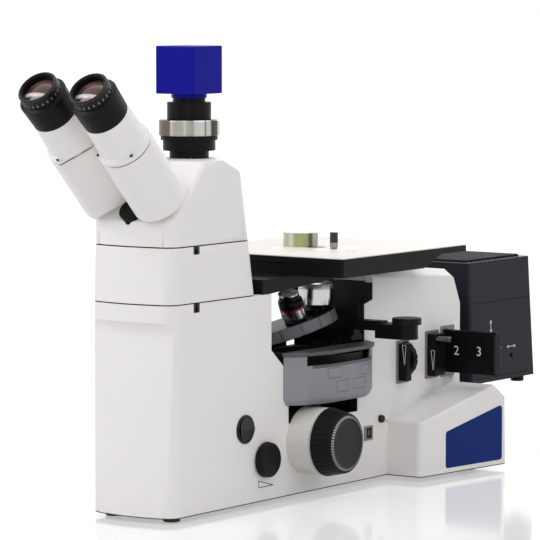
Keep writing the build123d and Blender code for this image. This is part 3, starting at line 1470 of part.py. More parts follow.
def lamp_housing():
    shape = lamp_shape(0)
    shape = fillet(shape.edges().filter_by(lambda e: abs(e.tangent_at(0).Z) > 0.9), lamp_round)
    shape -= lamp_shape(lamp_wall)
    window, _ = door_region(0, 0)
    pocket = window - lamp_inner_side(door_depth)
    shape -= pocket
    top = lamp_z[1]
    pitch = (lamp_top_y[1] - lamp_top_y[0] - lamp_fin_margin * 2) / (lamp_fin_count - 1)
    half = lamp_half_top - lamp_fin_margin
    for k in range(lamp_fin_count):
        y = lamp_top_y[0] + lamp_fin_margin + pitch * k
        shape -= block((-half, half), (y - lamp_fin_slot / 2, y + lamp_fin_slot / 2),
                       (top - lamp_wall - over, top + over))
    shape += disc_y(0, lamp_axis_z, lamp_tube_r, (rear_y, lamp_low_y[0]))
    shape -= disc_y(0, lamp_axis_z, lamp_tube_bore_r, (rear_y - over, lamp_low_y[0] + lamp_wall + over))
    for y, z in adjuster_places:
        shape -= disc_x(y, z, adjuster_r, (0, lamp_half_low + over))
    x, y = clamp_knob_at
    return shape - disc_z(x, y, fine_shaft_r + shaft_gap, (lamp_z[0] - over, lamp_z[0] + lamp_wall + over))


def lamp_bulb():
    """Bulb in its ceramic base, on a post from the rear wall."""
    rear = lamp_low_y[1] - lamp_wall - edge_round * 2
    envelope = disc_y(0, lamp_axis_z, bulb_r, (bulb_y - bulb_long / 2, bulb_y + bulb_long / 2))
    envelope = fillet(envelope.edges().group_by(Axis.Y)[0], bulb_r - edge_round)
    base = disc_y(0, lamp_axis_z, bulb_base_r, (bulb_y + bulb_long / 2, bulb_y + bulb_long))
    post = disc_y(0, lamp_axis_z, bulb_base_r / 2, (bulb_y + bulb_long, rear_wall_y(lamp_axis_z) - slide_gap))
    return envelope + base + post


def rear_wall_y(z):
    """Y of the inner face of the lamp's rear wall at a height."""
    low, high = lamp_z[0] + lamp_wall, lamp_z[1] - lamp_wall
    share = (z - low) / (high - low)
    y = lamp_low_y[1] + (lamp_top_y[1] - lamp_low_y[1]) * share - lamp_wall
    return y - bulb_base_r / 2 * (lamp_low_y[1] - lamp_top_y[1]) / (high - low)


def lamp_clamp_knob():
    x, y = clamp_knob_at
    cap = disc_z(x, y, clamp_knob_r, (clamp_knob_low_z, lamp_z[0] - slide_gap))
    cap = chamfer(cap.edges().group_by(Axis.Z)[0], edge_round / 2)
    return cap + disc_z(x, y, fine_shaft_r, (lamp_z[0] - slide_gap, lamp_z[0] + lamp_wall))


# All pieces
def build_pieces():
    slender = range(2, objective_count)
    return {
        "stand_housing": stand_housing(),
        "base_plate": base_plate(),
        "rubber_feet": rubber_feet(),
        "side_panels": side_panels(),
        "fold_prisms": fold_prisms(),
        "light_path_lenses": light_path_lenses(),
        "power_board": power_board(),
        "cap_screws": cap_screws(),
        "mains_inlet": mains_inlet(),
        "power_switch": power_switch(),
        "tube_riser": tube_riser(),
        "head_housing": head_housing(),
        "binocular_hub": binocular_hub(),
        "prism_arm_right": prism_arm(1, knuckle_right),
        "prism_arm_left": prism_arm(-1, knuckle_left),
        "tube_sleeve_right": tube_sleeve(1),
        "tube_sleeve_left": tube_sleeve(-1),
        "eyepiece_right": eyepiece(1),
        "eyepiece_left": eyepiece(-1),
        "diopter_ring_right": diopter_ring(1),
        "diopter_ring_left": diopter_ring(-1),
        "eye_lens_right": eye_lens(1),
        "eye_lens_left": eye_lens(-1),
        "camera_port": camera_port(),
        "camera_clamp_ring": camera_clamp_ring(),
        "camera_adapter": camera_adapter(),
        "camera_body": camera_body(),
        "stage_plate": stage_plate(),
        "stage_top": stage_top(),
        "stage_frame": stage_frame(),
        "stage_insert": stage_insert(),
        "specimen": specimen(),
        "clamp_post": clamp_post(),
        "nosepiece_turret": nosepiece_turret(),
        "nosepiece_carrier": nosepiece_carrier(),
        "objective_active": objective("objective_active", 0),
        "objective_red_ring": objective("objective_red_ring", objective_count - 1),
        "objectives_slender": objective_group("objectives_slender", range(1, objective_count - 1)),
        "focus_rack": focus_rack(),
        "coarse_shaft": coarse_shaft(),
        "coarse_knobs": coarse_knobs(),
        "fine_drive": fine_drive(),
        "focus_collars": focus_collars(),
        "reflector_turret": reflector_turret(),
        "reflector_cover": reflector_cover(),
        "intensity_knob": intensity_knob(),
        "switch_bezels": switch_bezels(),
        "two_position_rocker": two_position_rocker(),
        "push_button": push_button(),
        "module_frames": module_frames(),
        "diaphragm_modules": diaphragm_modules(),
        "aperture_wheel": aperture_wheel(),
        "field_stop_screw": field_stop_screw(),
        "filter_slider": filter_slider(),
        "analyser_slider": analyser_slider(),
        "analyser_knob": analyser_knob(),
        "lamp_housing": lamp_housing(),
        "lamp_door": lamp_door(),
        "lamp_bulb": lamp_bulb(),
        "lamp_clamp_knob": lamp_clamp_knob(),
    }


def as_solids(shape):
    items = shape if isinstance(shape, list) else [shape]
    return [solid for item in items for solid in item.solids()]


def main():
    os.makedirs("parts", exist_ok=True)
    pieces = {name: Compound(children=as_solids(shape)) for name, shape in build_pieces().items()}
    boxes = [piece.bounding_box() for piece in pieces.values()]
    box = boxes[0]
    for other in boxes[1:]:
        box = box.add(other)
    origin = Vector(box.center().X, box.center().Y, box.min.Z)
    for name, piece in pieces.items():
        export_step(Pos(-origin.X, -origin.Y, -origin.Z) * piece, f"parts/{name}.step")
    print("origin", origin.X, origin.Y, origin.Z, "size", box.size)
    print("turret centre", turret_centre, "axis", turret_normal)


main()
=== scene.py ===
import math

import bpy
from mathutils import Matrix, Vector


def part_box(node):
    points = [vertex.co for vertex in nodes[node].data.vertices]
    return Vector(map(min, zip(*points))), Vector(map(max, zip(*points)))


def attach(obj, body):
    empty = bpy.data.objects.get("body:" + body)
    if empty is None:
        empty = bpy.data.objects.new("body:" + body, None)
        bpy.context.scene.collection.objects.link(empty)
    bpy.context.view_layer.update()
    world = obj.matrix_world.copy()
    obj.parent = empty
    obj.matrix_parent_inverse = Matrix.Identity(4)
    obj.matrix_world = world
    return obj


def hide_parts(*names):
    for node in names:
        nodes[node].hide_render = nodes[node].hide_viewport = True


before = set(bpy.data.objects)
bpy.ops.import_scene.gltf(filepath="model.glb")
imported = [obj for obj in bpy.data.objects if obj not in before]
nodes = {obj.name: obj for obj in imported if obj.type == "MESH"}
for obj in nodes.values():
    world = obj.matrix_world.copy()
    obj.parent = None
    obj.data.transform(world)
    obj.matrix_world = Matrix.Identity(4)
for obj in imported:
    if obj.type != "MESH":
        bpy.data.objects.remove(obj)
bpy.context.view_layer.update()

# Places are given as on the drawing: millimetres from the point on the table under the objective in use
low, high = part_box("stage_insert")
MM = 0.001
OBJECTIVE = Vector(((low.x + high.x) / 2, (low.y + high.y) / 2, 0))
SLANT = math.radians(45)
TUBE_FOOT = Vector((0, -331.2, 336.2))
TUBE_UP = Vector((0, -math.cos(SLANT), math.sin(SLANT)))
TUBE_BACK = Vector((0, math.cos(SLANT), math.sin(SLANT)))
EYE_X = 33.0
DRIVE_Y, DRIVE_Z = -97.0, 63.0
CAMERA_Y = -237.0
TILT, TURN = math.radians(18), math.radians(38)
REVOLVER_UP = Vector((-math.sin(TILT) * math.cos(TURN), -math.sin(TILT) * math.sin(TURN), math.cos(TILT)))
REVOLVER_RISE = Vector((math.cos(TILT) * math.cos(TURN), math.cos(TILT) * math.sin(TURN), math.sin(TILT)))
SEAT_CIRCLE_R, SEAT_Z = 36, 191.5
REVOLVER_CENTRE = Vector((0, 0, SEAT_Z)) - SEAT_CIRCLE_R * REVOLVER_RISE
REFLECTOR_AXIS = (22, -32, 0)
POST_AT = (30, -8)
STAGE_TOP_Z = 265.6
SPECIMEN_AT = (-25, 6)
REFLECTION_START = (0.81, -0.58, 0)     # direction from which the painted reflections on steel and glass are counted
# Where along y the painted shade round the notches lies
NOTCH_SHADE_Y = (-302.6, -291.4)

# Sections of the prism arms, across (x) and behind (t) the eyepiece axes, and along them (w)
ARM_R, ARM_FLAT_X, ARM_TOP_W = 29.6, 24.7, 83.0
ARM_CREASE = (14.1, -12.9)
HINGE_T, FOLD_SLOPE, FOLD_CLEARANCE = -17.8, 0.257, 0.7
LID_W, LID_SCREW_W = (84.1, 90.0), 90.0
SLEEVE_R, SLEEVE_FOOT_W, SLEEVE_LONG, SLEEVE_TOP_W, SLEEVE_TAPER = 26.2, 89.5, 40.1, 129.6, 0.947
FLARE_R, FLARE_W, FLARE_LONG = 28.0, 88.5, 3.4
HUB_R, HUB_T, HUB_W, HUB_LONG = 14.6, -10.4, -10.0, 9.2
LID_SCREW_PLACES = {"right": ((-20.5, -19.0), (21.3, -18.0), (-20.5, 19.0)),
                    "left": ((-26.6, -7.6), (-2.6, -27.4), (20.5, 19.0))}


def at(x, y, z):
    return Vector((x, y, z)) * MM + OBJECTIVE


# Camera
def set_up_camera():
    data = bpy.data.cameras.new("camera")
    data.sensor_width = 36.0
    data.lens = 233.08
    data.clip_start, data.clip_end = 0.05, 60.0
    camera = bpy.data.objects.new("camera", data)
    camera.location = at(2221.2, -3214.8, 576.0)
    camera.rotation_euler = (math.radians(90 - 4.918), 0, math.radians(35.395))
    bpy.context.scene.collection.objects.link(camera)
    bpy.context.scene.camera = camera


# Studio
def lamp(name, place, aim, size, power):
    data = bpy.data.lights.new(name, "AREA")
    data.shape = "RECTANGLE"
    data.size, data.size_y = size
    data.energy = power
    light = bpy.data.objects.new(name, data)
    light.location = Vector(place)
    light.rotation_euler = (Vector(aim) - Vector(place)).to_track_quat("-Z", "Y").to_euler()
    bpy.context.scene.collection.objects.link(light)


def seen_directly(tree):
    """1 for rays from the camera, a mirror or glass, and 0 for light that bounces."""
    path = tree.nodes.new("ShaderNodeLightPath")
    first = math_node(tree, "MAXIMUM", path.outputs["Is Camera Ray"], path.outputs["Is Glossy Ray"])
    return math_node(tree, "MAXIMUM", first, path.outputs["Is Transmission Ray"])


def math_node(tree, operation, a, b=None, c=None, clamp=False):
    node = tree.nodes.new("ShaderNodeMath")
    node.operation = operation
    node.use_clamp = clamp
    for socket, value in zip(node.inputs, (a, b, c)):
        if value is None:
            continue
        if isinstance(value, (int, float)):
            socket.default_value = value
        else:
            tree.links.new(value, socket)
    return node.outputs[0]


def split_by_ray(tree, output, bounced, seen):
    """One shader for bounced light and another for what is seen directly."""
    mix = tree.nodes.new("ShaderNodeMixShader")
    tree.links.new(seen_directly(tree), mix.inputs[0])
    tree.links.new(bounced.outputs[0], mix.inputs[1])
    tree.links.new(seen.outputs[0], mix.inputs[2])
    tree.links.new(mix.outputs[0], output.inputs["Surface"])


def set_up_studio():
    """White surroundings, five soft lamps and a pale glossy floor."""
    world = bpy.data.worlds.new("studio")
    bpy.context.scene.world = world
    world.use_nodes = True
    tree = world.node_tree
    tree.nodes.clear()
    output = tree.nodes.new("ShaderNodeOutputWorld")
    fill = tree.nodes.new("ShaderNodeBackground")
    fill.inputs["Color"].default_value = (1, 0.99, 0.98, 1)
    fill.inputs["Strength"].default_value = 0.42
    white = tree.nodes.new("ShaderNodeBackground")
    white.inputs["Color"].default_value = (1, 1, 1, 1)
    white.inputs["Strength"].default_value = 1.0
    split_by_ray(tree, output, fill, white)

    lamp("key", (-1.7, -1.9, 1.9), (0, 0, 0.2), (1.6, 1.6), 34)
    lamp("front_fill", (1.2, -2.6, 1.2), (0, 0, 0.2), (1.4, 1.4), 11)
    lamp("side_fill", (2.6, -0.3, 1.5), (0, 0, 0.2), (1.6, 1.6), 13)
    lamp("top", (0.2, 0.4, 2.6), (0, 0, 0.2), (2.0, 2.0), 24)
    lamp("back", (-0.6, 2.6, 1.4), (0, 0, 0.2), (1.6, 1.6), 12)

    bpy.ops.mesh.primitive_plane_add(size=60, location=(0, 0, 0))
    floor = bpy.context.object
    floor.name = "floor"
    material = bpy.data.materials.new("floor_white")
    material.use_nodes = True
    tree = material.node_tree
    tree.nodes.clear()
    output = tree.nodes.new("ShaderNodeOutputMaterial")
    bounce = tree.nodes.new("ShaderNodeBsdfDiffuse")
    bounce.inputs["Color"].default_value = (0.75, 0.75, 0.75, 1)
    shadowed = tree.nodes.new("ShaderNodeBsdfPrincipled")
    shadowed.inputs["Base Color"].default_value = (0.42, 0.42, 0.42, 1)
    shadowed.inputs["Roughness"].default_value = 0.1
    shadowed.inputs["Specular IOR Level"].default_value = 0.35
    shadowed.inputs["Emission Color"].default_value = (1, 1, 1, 1)
    shadowed.inputs["Emission Strength"].default_value = 0.42
    split_by_ray(tree, output, bounce, shadowed)
    floor.data.materials.append(material)


# Node groups that several finishes share
def new_group(name, inputs, outputs):
    group = bpy.data.node_groups.new(name, "ShaderNodeTree")
    for label, kind, value in inputs:
        socket = group.interface.new_socket(name=label, in_out="INPUT", socket_type=kind)
        if value is not None:
            socket.default_value = value
    for label, kind in outputs:
        group.interface.new_socket(name=label, in_out="OUTPUT", socket_type=kind)
    return group, group.nodes.new("NodeGroupInput"), group.nodes.new("NodeGroupOutput")


def grain_group():
    """Fine moulded or sprayed texture, with a slow change of tone."""
    group, given, out = new_group(
        "surface_grain",
        [("Vector", "NodeSocketVector", None), ("Grain Scale", "NodeSocketFloat", 900.0),
         ("Tone Scale", "NodeSocketFloat", 9.0)],
        [("Height", "NodeSocketFloat"), ("Tone", "NodeSocketFloat")])
    fine = group.nodes.new("ShaderNodeTexNoise")
    fine.inputs["Detail"].default_value = 3.0
    fine.inputs["Roughness"].default_value = 0.6
    slow = group.nodes.new("ShaderNodeTexNoise")
    slow.inputs["Detail"].default_value = 4.0
    group.links.new(given.outputs["Vector"], fine.inputs["Vector"])
    group.links.new(given.outputs["Vector"], slow.inputs["Vector"])
    group.links.new(given.outputs["Grain Scale"], fine.inputs["Scale"])
    group.links.new(given.outputs["Tone Scale"], slow.inputs["Scale"])
    group.links.new(fine.outputs["Fac"], out.inputs["Height"])
    group.links.new(slow.outputs["Fac"], out.inputs["Tone"])
    return group


def edge_group():
    """Rounded light on sharp edges, and a mask of the edges themselves."""
    group, given, out = new_group(
        "worn_edges",
        [("Radius", "NodeSocketFloat", 0.0008), ("Wear", "NodeSocketFloat", 1.0)],
        [("Normal", "NodeSocketVector"), ("Edge", "NodeSocketFloat")])
    bevel = group.nodes.new("ShaderNodeBevel")
    bevel.samples = 4
    group.links.new(given.outputs["Radius"], bevel.inputs["Radius"])
    geometry = group.nodes.new("ShaderNodeNewGeometry")
    dot = group.nodes.new("ShaderNodeVectorMath")
    dot.operation = "DOT_PRODUCT"
    group.links.new(bevel.outputs["Normal"], dot.inputs[0])
    group.links.new(geometry.outputs["Normal"], dot.inputs[1])
    turned = math_node(group, "SUBTRACT", 1.0, dot.outputs["Value"])
    sharp = math_node(group, "MULTIPLY", turned, 6.0, clamp=True)
    worn = math_node(group, "MULTIPLY", sharp, given.outputs["Wear"], clamp=True)
    group.links.new(worn, out.inputs["Edge"])
    group.links.new(bevel.outputs["Normal"], out.inputs["Normal"])
    return group


def band_group():
    """1 where a value lies within a half width of a centre, with soft limits."""
    group, given, out = new_group(
        "band",
        [("Value", "NodeSocketFloat", 0.0), ("Centre", "NodeSocketFloat", 0.0),
         ("Half Width", "NodeSocketFloat", 0.001), ("Soft", "NodeSocketFloat", 0.0001)],
        [("Mask", "NodeSocketFloat")])
    offset = math_node(group, "SUBTRACT", given.outputs["Value"], given.outputs["Centre"])
    away = math_node(group, "ABSOLUTE", offset)
    inside = math_node(group, "SUBTRACT", given.outputs["Half Width"], away)
    soft = math_node(group, "DIVIDE", inside, given.outputs["Soft"], clamp=True)
    group.links.new(soft, out.inputs["Mask"])
    return group


def turning_group():
    """Angle, distance and height about the Z axis of the given vector."""
    group, given, out = new_group(
        "about_axis",
        [("Vector", "NodeSocketVector", None)],
        [("Angle", "NodeSocketFloat"), ("Distance", "NodeSocketFloat"), ("Height", "NodeSocketFloat")])
    parts = group.nodes.new("ShaderNodeSeparateXYZ")
    group.links.new(given.outputs["Vector"], parts.inputs[0])
    x, y, z = parts.outputs
    group.links.new(math_node(group, "ARCTAN2", y, x), out.inputs["Angle"])
    squares = math_node(group, "ADD", math_node(group, "MULTIPLY", x, x), math_node(group, "MULTIPLY", y, y))
    group.links.new(math_node(group, "SQRT", squares), out.inputs["Distance"])
    group.links.new(z, out.inputs["Height"])
    return group


GRAIN, EDGES, BAND, ABOUT = grain_group(), edge_group(), band_group(), turning_group()


def srgb(text):
    """A colour in linear light from its usual six digits."""
    def linear(value):
        return value / 12.92 if value <= 0.04045 else ((value + 0.055) / 1.055) ** 2.4
    return tuple(linear(int(text[k:k + 2], 16) / 255) for k in (0, 2, 4)) + (1.0,)


class Finish:
    """A material in the making: its tree, its coordinates and the colour and height so far."""

    def __init__(self, name, colour, roughness, metallic=0.0, grain=900.0, depth=0.00002, tone=0.04,
                 edge=0.0008, wear=0.25, wear_colour="ffffff", coat=0.0, specular=0.5, tone_scale=9.0):
        self.material = bpy.data.materials.new(name)
        self.material.use_nodes = True
        self.tree = self.material.node_tree
        self.shader = self.tree.nodes["Principled BSDF"]
        base = srgb(colour)
        self.shader.inputs["Metallic"].default_value = metallic
        self.shader.inputs["Coat Weight"].default_value = coat
        self.shader.inputs["Coat Roughness"].default_value = 0.08
        self.shader.inputs["Specular IOR Level"].default_value = specular
        self.coordinates = self.tree.nodes.new("ShaderNodeTexCoord").outputs["Object"]
        grained = self.place_group(GRAIN)
        grained.inputs["Grain Scale"].default_value = grain
        grained.inputs["Tone Scale"].default_value = tone_scale
        self.tree.links.new(self.coordinates, grained.inputs["Vector"])
        darker = tuple(v * (1 - tone) for v in base[:3]) + (1.0,)
        lighter = tuple(min(v * (1 + tone), 1.0) for v in base[:3]) + (1.0,)
        self.colour = self.mix(grained.outputs["Tone"], darker, lighter)
        edges = self.place_group(EDGES)
        edges.inputs["Radius"].default_value = edge
        edges.inputs["Wear"].default_value = wear
        self.normal = edges.outputs["Normal"]
        self.colour = self.mix(edges.outputs["Edge"], self.colour, srgb(wear_colour))
        self.roughness = self.spread(grained.outputs["Height"], roughness * 0.88, roughness * 1.12)
        self.height = math_node(self.tree, "MULTIPLY", grained.outputs["Height"], depth)

    def place_group(self, group):
        node = self.tree.nodes.new("ShaderNodeGroup")
        node.node_tree = group
        return node

    def mix(self, factor, a, b):
        node = self.tree.nodes.new("ShaderNodeMix")
        node.data_type = "RGBA"
        sockets = {s.name + s.type: s for s in node.inputs if s.enabled}
        for socket, value in ((node.inputs[0], factor), (sockets["ARGBA"], a), (sockets["BRGBA"], b)):
            if isinstance(value, (tuple, float, int)):
                socket.default_value = value
            else:
                self.tree.links.new(value, socket)
        return [s for s in node.outputs if s.enabled][0]

    def spread(self, value, lowest, highest):
        return math_node(self.tree, "MULTIPLY_ADD", value, highest - lowest, lowest)

    def part(self, index):
        """One coordinate of the surface point, in the drawing's millimetres."""
        parts = self.tree.nodes.new("ShaderNodeSeparateXYZ")
        self.tree.links.new(self.coordinates, parts.inputs[0])
        moved = math_node(self.tree, "SUBTRACT", parts.outputs[index], OBJECTIVE[index])
        return math_node(self.tree, "MULTIPLY", moved, 1000.0)

    def along(self, origin, direction):
        """Distance along a direction from a point, in the drawing's millimetres."""
        dot = self.tree.nodes.new("ShaderNodeVectorMath")
        dot.operation = "DOT_PRODUCT"
        self.tree.links.new(self.coordinates, dot.inputs[0])
        dot.inputs[1].default_value = direction
        moved = math_node(self.tree, "SUBTRACT", dot.outputs["Value"], at(*origin).dot(direction))
        return math_node(self.tree, "MULTIPLY", moved, 1000.0)

    def band(self, value, lowest, highest, soft=0.05):
        node = self.place_group(BAND)
        self.tree.links.new(value, node.inputs["Value"])
        node.inputs["Centre"].default_value = (lowest + highest) / 2
        node.inputs["Half Width"].default_value = (highest - lowest) / 2
        node.inputs["Soft"].default_value = soft
        return node.outputs["Mask"]

    def both(self, *masks):
        result = masks[0]
        for mask in masks[1:]:
            result = math_node(self.tree, "MULTIPLY", result, mask)
        return result

    def either(self, *masks):
        result = masks[0]
        for mask in masks[1:]:
            result = math_node(self.tree, "MAXIMUM", result, mask)
        return result

    def paint(self, mask, colour, roughness=None, metallic=None):
        self.colour = self.mix(mask, self.colour, srgb(colour))
        if roughness is not None:
            difference = math_node(self.tree, "SUBTRACT", roughness, self.roughness)
            self.roughness = math_node(self.tree, "MULTIPLY_ADD", difference, mask, self.roughness)
        if metallic is not None:
            socket = self.shader.inputs["Metallic"]
            self.tree.links.new(self.spread(mask, socket.default_value, metallic), socket)

    def about(self, origin, axis, start=(1, 0, 0)):
        """Angle, distance and height round an axis, the last two in millimetres."""
        z = Vector(axis).normalized()
        x = (Vector(start) - z * Vector(start).dot(z)).normalized()
        y = z.cross(x)
        combine = self.tree.nodes.new("ShaderNodeCombineXYZ")
        for index, direction in enumerate((x, y, z)):
            self.tree.links.new(self.along(origin, direction), combine.inputs[index])
        node = self.place_group(ABOUT)
        self.tree.links.new(combine.outputs[0], node.inputs["Vector"])
        return node.outputs

    def teeth(self, angle, count):
        """A wave of that many ridges round an axis, from 0 to 1."""
        wave = math_node(self.tree, "SINE", math_node(self.tree, "MULTIPLY", angle, float(count)))
        return math_node(self.tree, "MULTIPLY_ADD", wave, 0.5, 0.5)

    def ticks(self, angle, count, share):
        """Marks at even steps round an axis, each taking a share of its step."""
        turns = math_node(self.tree, "MULTIPLY", angle, count / (2 * math.pi))
        step = math_node(self.tree, "FRACT", math_node(self.tree, "ADD", turns, float(count)))
        return self.band(step, 0.5 - share / 2, 0.5 + share / 2, soft=share * 0.2)

    def raise_by(self, mask, metres):
        self.height = math_node(self.tree, "MULTIPLY_ADD", mask, metres, self.height)

    def done(self):
        links = self.tree.links
        links.new(self.colour, self.shader.inputs["Base Color"])
        links.new(self.roughness, self.shader.inputs["Roughness"])
        bump = self.tree.nodes.new("ShaderNodeBump")
        bump.inputs["Strength"].default_value = 1.0
        bump.inputs["Distance"].default_value = 1.0
        links.new(self.height, bump.inputs["Height"])
        links.new(self.normal, bump.inputs["Normal"])
        links.new(bump.outputs["Normal"], self.shader.inputs["Normal"])
        return self.material


# Finishes
WHITE = dict(colour="eeecea", roughness=0.42, grain=1400, depth=0.000012, tone=0.015, edge=0.0012,
             wear=0.2, wear_colour="f6f5f3")


def white_paint(name="white_paint"):
    return Finish(name, **WHITE)


def stand_paint():
    """White outside and black inside the bay round the nosepiece, with painted shade round the notches and a
    painted shadow along the foot.
    """
    finish = white_paint("stand_paint")
    inside = finish.both(finish.band(finish.part(0), -53.6, 53.6, 0.2),
                         finish.band(finish.part(1), -161.2, 50, 0.3),
                         finish.band(finish.part(2), 80, 226, 0.3))
    finish.paint(inside, "111113", 0.55)
    # Painted shade round each notch.
    notch_shade = finish.both(finish.band(finish.part(1), *NOTCH_SHADE_Y, 0.4),
                        finish.band(finish.part(2), 218.4, 228.6, 0.3))
    finish.paint(notch_shade, "45433f", 0.6)
    # Painted shadow: a dark line where the stand meets the floor.
    finish.paint(finish.band(finish.part(2), 3, 6.2, 0.3), "2b2b2d", 0.7)
    return finish.done()


def riser_paint():
    """White, with dark parting lines above and below, and painted shade round the notches."""
    finish = white_paint("riser_paint")
    z = finish.part(2)
    seams = finish.either(finish.band(z, 227.9, 229.3, 0.1), finish.band(z, 287.7, 289.1, 0.1))
    finish.paint(seams, "1d1d1f", 0.8)
    # Painted shade round each notch.
    notch_shade = finish.both(finish.band(finish.part(1), *NOTCH_SHADE_Y, 0.4), finish.band(z, 279.4, 289.6, 0.3))
    finish.paint(notch_shade, "45433f", 0.6)
    return finish.done()


def sleeve_paint():
    finish = white_paint("sleeve_paint")
    height = finish.along(TUBE_FOOT, TUBE_UP)
    finish.paint(finish.band(height, 82.4, 84.15, 0.05), "4a4a4d", 0.8)
    return finish.done()


def black_metal():
    return Finish("black_anodised", "0f0f11", 0.38, grain=2200, depth=0.000008, tone=0.15, edge=0.0005,
                  wear=0.3, wear_colour="38383c", specular=0.1).done()


def black_plastic():
    return Finish("black_plastic", "101012", 0.45, grain=1800, depth=0.00002, tone=0.12, edge=0.0006,
                  wear=0.3, wear_colour="303034", specular=0.12).done()


def turned_steel():
    """Bright steel with fine turning lines and painted reflections: dark and light streaks round its axis."""
    finish = Finish("turned_steel", "b9b7b3", 0.26, metallic=1.0, grain=1200, depth=0.000004, tone=0.05,
                    edge=0.0005, wear=0.5, wear_colour="e8e8e6")
    lines = finish.teeth(finish.part(2), 9)
    finish.raise_by(lines, 0.000006)
    angle, _, _ = finish.about((0, CAMERA_Y, 0), (0, 0, 1), REFLECTION_START)
    # Painted reflections: dark and light streaks at fixed angles round the axis.
    for low, high, colour in ((-1.7, -0.95, "6a625d"), (-0.45, -0.12, "93908c"), (0.2, 0.3, "453d39"),
                              (0.45, 0.9, "4d443f"), (1.4, 2.2, "6a625d")):
        finish.paint(finish.band(angle, low, high, 0.06), colour)
    return finish.done()


def plain_steel():
    return Finish("machined_steel", "8f9093", 0.32, metallic=1.0, grain=1500, depth=0.00001, tone=0.08,
                  edge=0.0004, wear=0.5, wear_colour="c9c9cc").done()


def blue_panel():
    return Finish("blue_panel", "0b2a72", 0.3, grain=1300, depth=0.000015, tone=0.08, edge=0.0008, wear=0.4,
                  wear_colour="24459a", specular=0.07).done()


def camera_blue():
    return Finish("camera_blue", "121292", 0.32, grain=1600, depth=0.00001, tone=0.06, edge=0.0008,
                  wear=0.4, wear_colour="2c2cb0", specular=0.08).done()


def button_black():
    return Finish("button_black", "0c0c0e", 0.3, grain=1500, depth=0.00001, tone=0.08, edge=0.0005,
                  specular=0.3).done()


RAISED_FIELDS = (((-92.4, -65.4), (130.7, 142.9)), ((-76.7, -52.5), (114.1, 127.8)),
                 ((-43.9, -20.5), (115.1, 127.9)), ((-29.4, -10.4), (129.3, 141.5)))


def cover_grey():
    """Grey moulding with a dark rim along its top and under its slot, and four raised fields."""
    finish = Finish("cover_grey", "898a91", 0.5, grain=1300, depth=0.00003, tone=0.04, edge=0.001, wear=0.4,
                    wear_colour="b2b2bb")
    z, y = finish.part(2), finish.part(1)
    rim = finish.band(z, 157.2, 163, 0.2)
    strip = finish.both(finish.band(z, 143.5, 147.3, 0.15), finish.band(y, -113, 5, 0.5))
    finish.paint(finish.either(rim, strip), "4b4b50", 0.45)
    finish.paint(finish.band(finish.part(0), 40, 54.4, 0.1), "2a2a2d", 0.6)
    for ys, zs in RAISED_FIELDS:
        outer = finish.both(finish.band(y, *ys), finish.band(z, *zs))
        inner = finish.both(finish.band(y, ys[0] + 1.1, ys[1] - 1.1),
                            finish.band(z, zs[0] + 1.0, zs[1] - 1.0))
        finish.paint(math_node(finish.tree, "SUBTRACT", outer, inner, clamp=True), "6b6c73", 0.55)
        finish.raise_by(inner, 0.0004)
    for place in (-60.0, -33.6):
        groove = finish.both(finish.band(y, place - 0.5, place + 0.5, 0.2), finish.band(z, 104, 143, 0.3))
        finish.paint(groove, "7a7b82")
    return finish.done()


def frame_grey():
    return Finish("frame_grey", "7a7881", 0.45, grain=1500, depth=0.00001, tone=0.05, edge=0.0005, wear=0.4,
                  wear_colour="9c9aa3").done()


def collar_white():
    return Finish("collar_white", "d9d7d4", 0.35, grain=1500, depth=0.000012, tone=0.02, edge=0.0012,
                  wear=0.2, wear_colour="f2f1ef").done()


def lamp_charcoal():
    return Finish("lamp_charcoal", "22242b", 0.42, grain=1500, depth=0.00002, tone=0.06, edge=0.0012,
                  wear=0.4, wear_colour="43454e", specular=0.1).done()


def stage_cream():
    return Finish("stage_cream", "e9e6df", 0.4, grain=1500, depth=0.00001, tone=0.012, edge=0.0005, wear=0.2,
                  wear_colour="ffffff").done()


def insert_satin():
    """Pale turned disc with a fine groove near its rim."""
    finish = Finish("insert_satin", "f4f2ee", 0.3, grain=1500, depth=0.000006, tone=0.015, edge=0.0004)
    _, distance, _ = finish.about((0, 0, 0), (0, 0, 1))
    finish.paint(finish.band(distance, 53.0, 54.4, 0.2), "c9c6bf")
    finish.raise_by(finish.teeth(distance, 5), 0.000004)
    return finish.done()


def foot_rubber():
    return Finish("foot_rubber", "4a3a1e", 0.7, grain=900, depth=0.00005, tone=0.12).done()


def board_green():
    finish = Finish("board_green", "1d4a2c", 0.4, grain=600, depth=0.00004, tone=0.2)
    finish.paint(finish.band(finish.part(2), 17.7, 60, 0.1), "2f2f33", 0.5)
    return finish.done()


def clear_glass(name, colour):
    finish = Finish(name, colour, 0.02, grain=300, depth=0.0, tone=0.02, wear=0.0)
    finish.shader.inputs["Transmission Weight"].default_value = 1.0
    finish.shader.inputs["IOR"].default_value = 1.5
    return finish.done()


def eye_glass():
    """Coated eye lens: dark and pinkish, with painted reflections in bands across it, a pale one across its
    lower part.
    """
    finish = Finish("eye_glass", "4a3531", 0.05, grain=200, depth=0.0, tone=0.15, wear=0.0, coat=0.25,
                    specular=0.35)
    height = finish.along(TUBE_FOOT, TUBE_BACK)
    # Painted reflections: a lighter band, a pale band and a dark band across the lens.
    finish.paint(finish.band(height, 2, 17, 5), "6e524b")
    finish.paint(finish.band(height, -9.5, -3.5, 1.5), "d9cfc8")
    finish.paint(finish.band(height, -18, -11, 1.5), "2a1e1d")
    return finish.done()


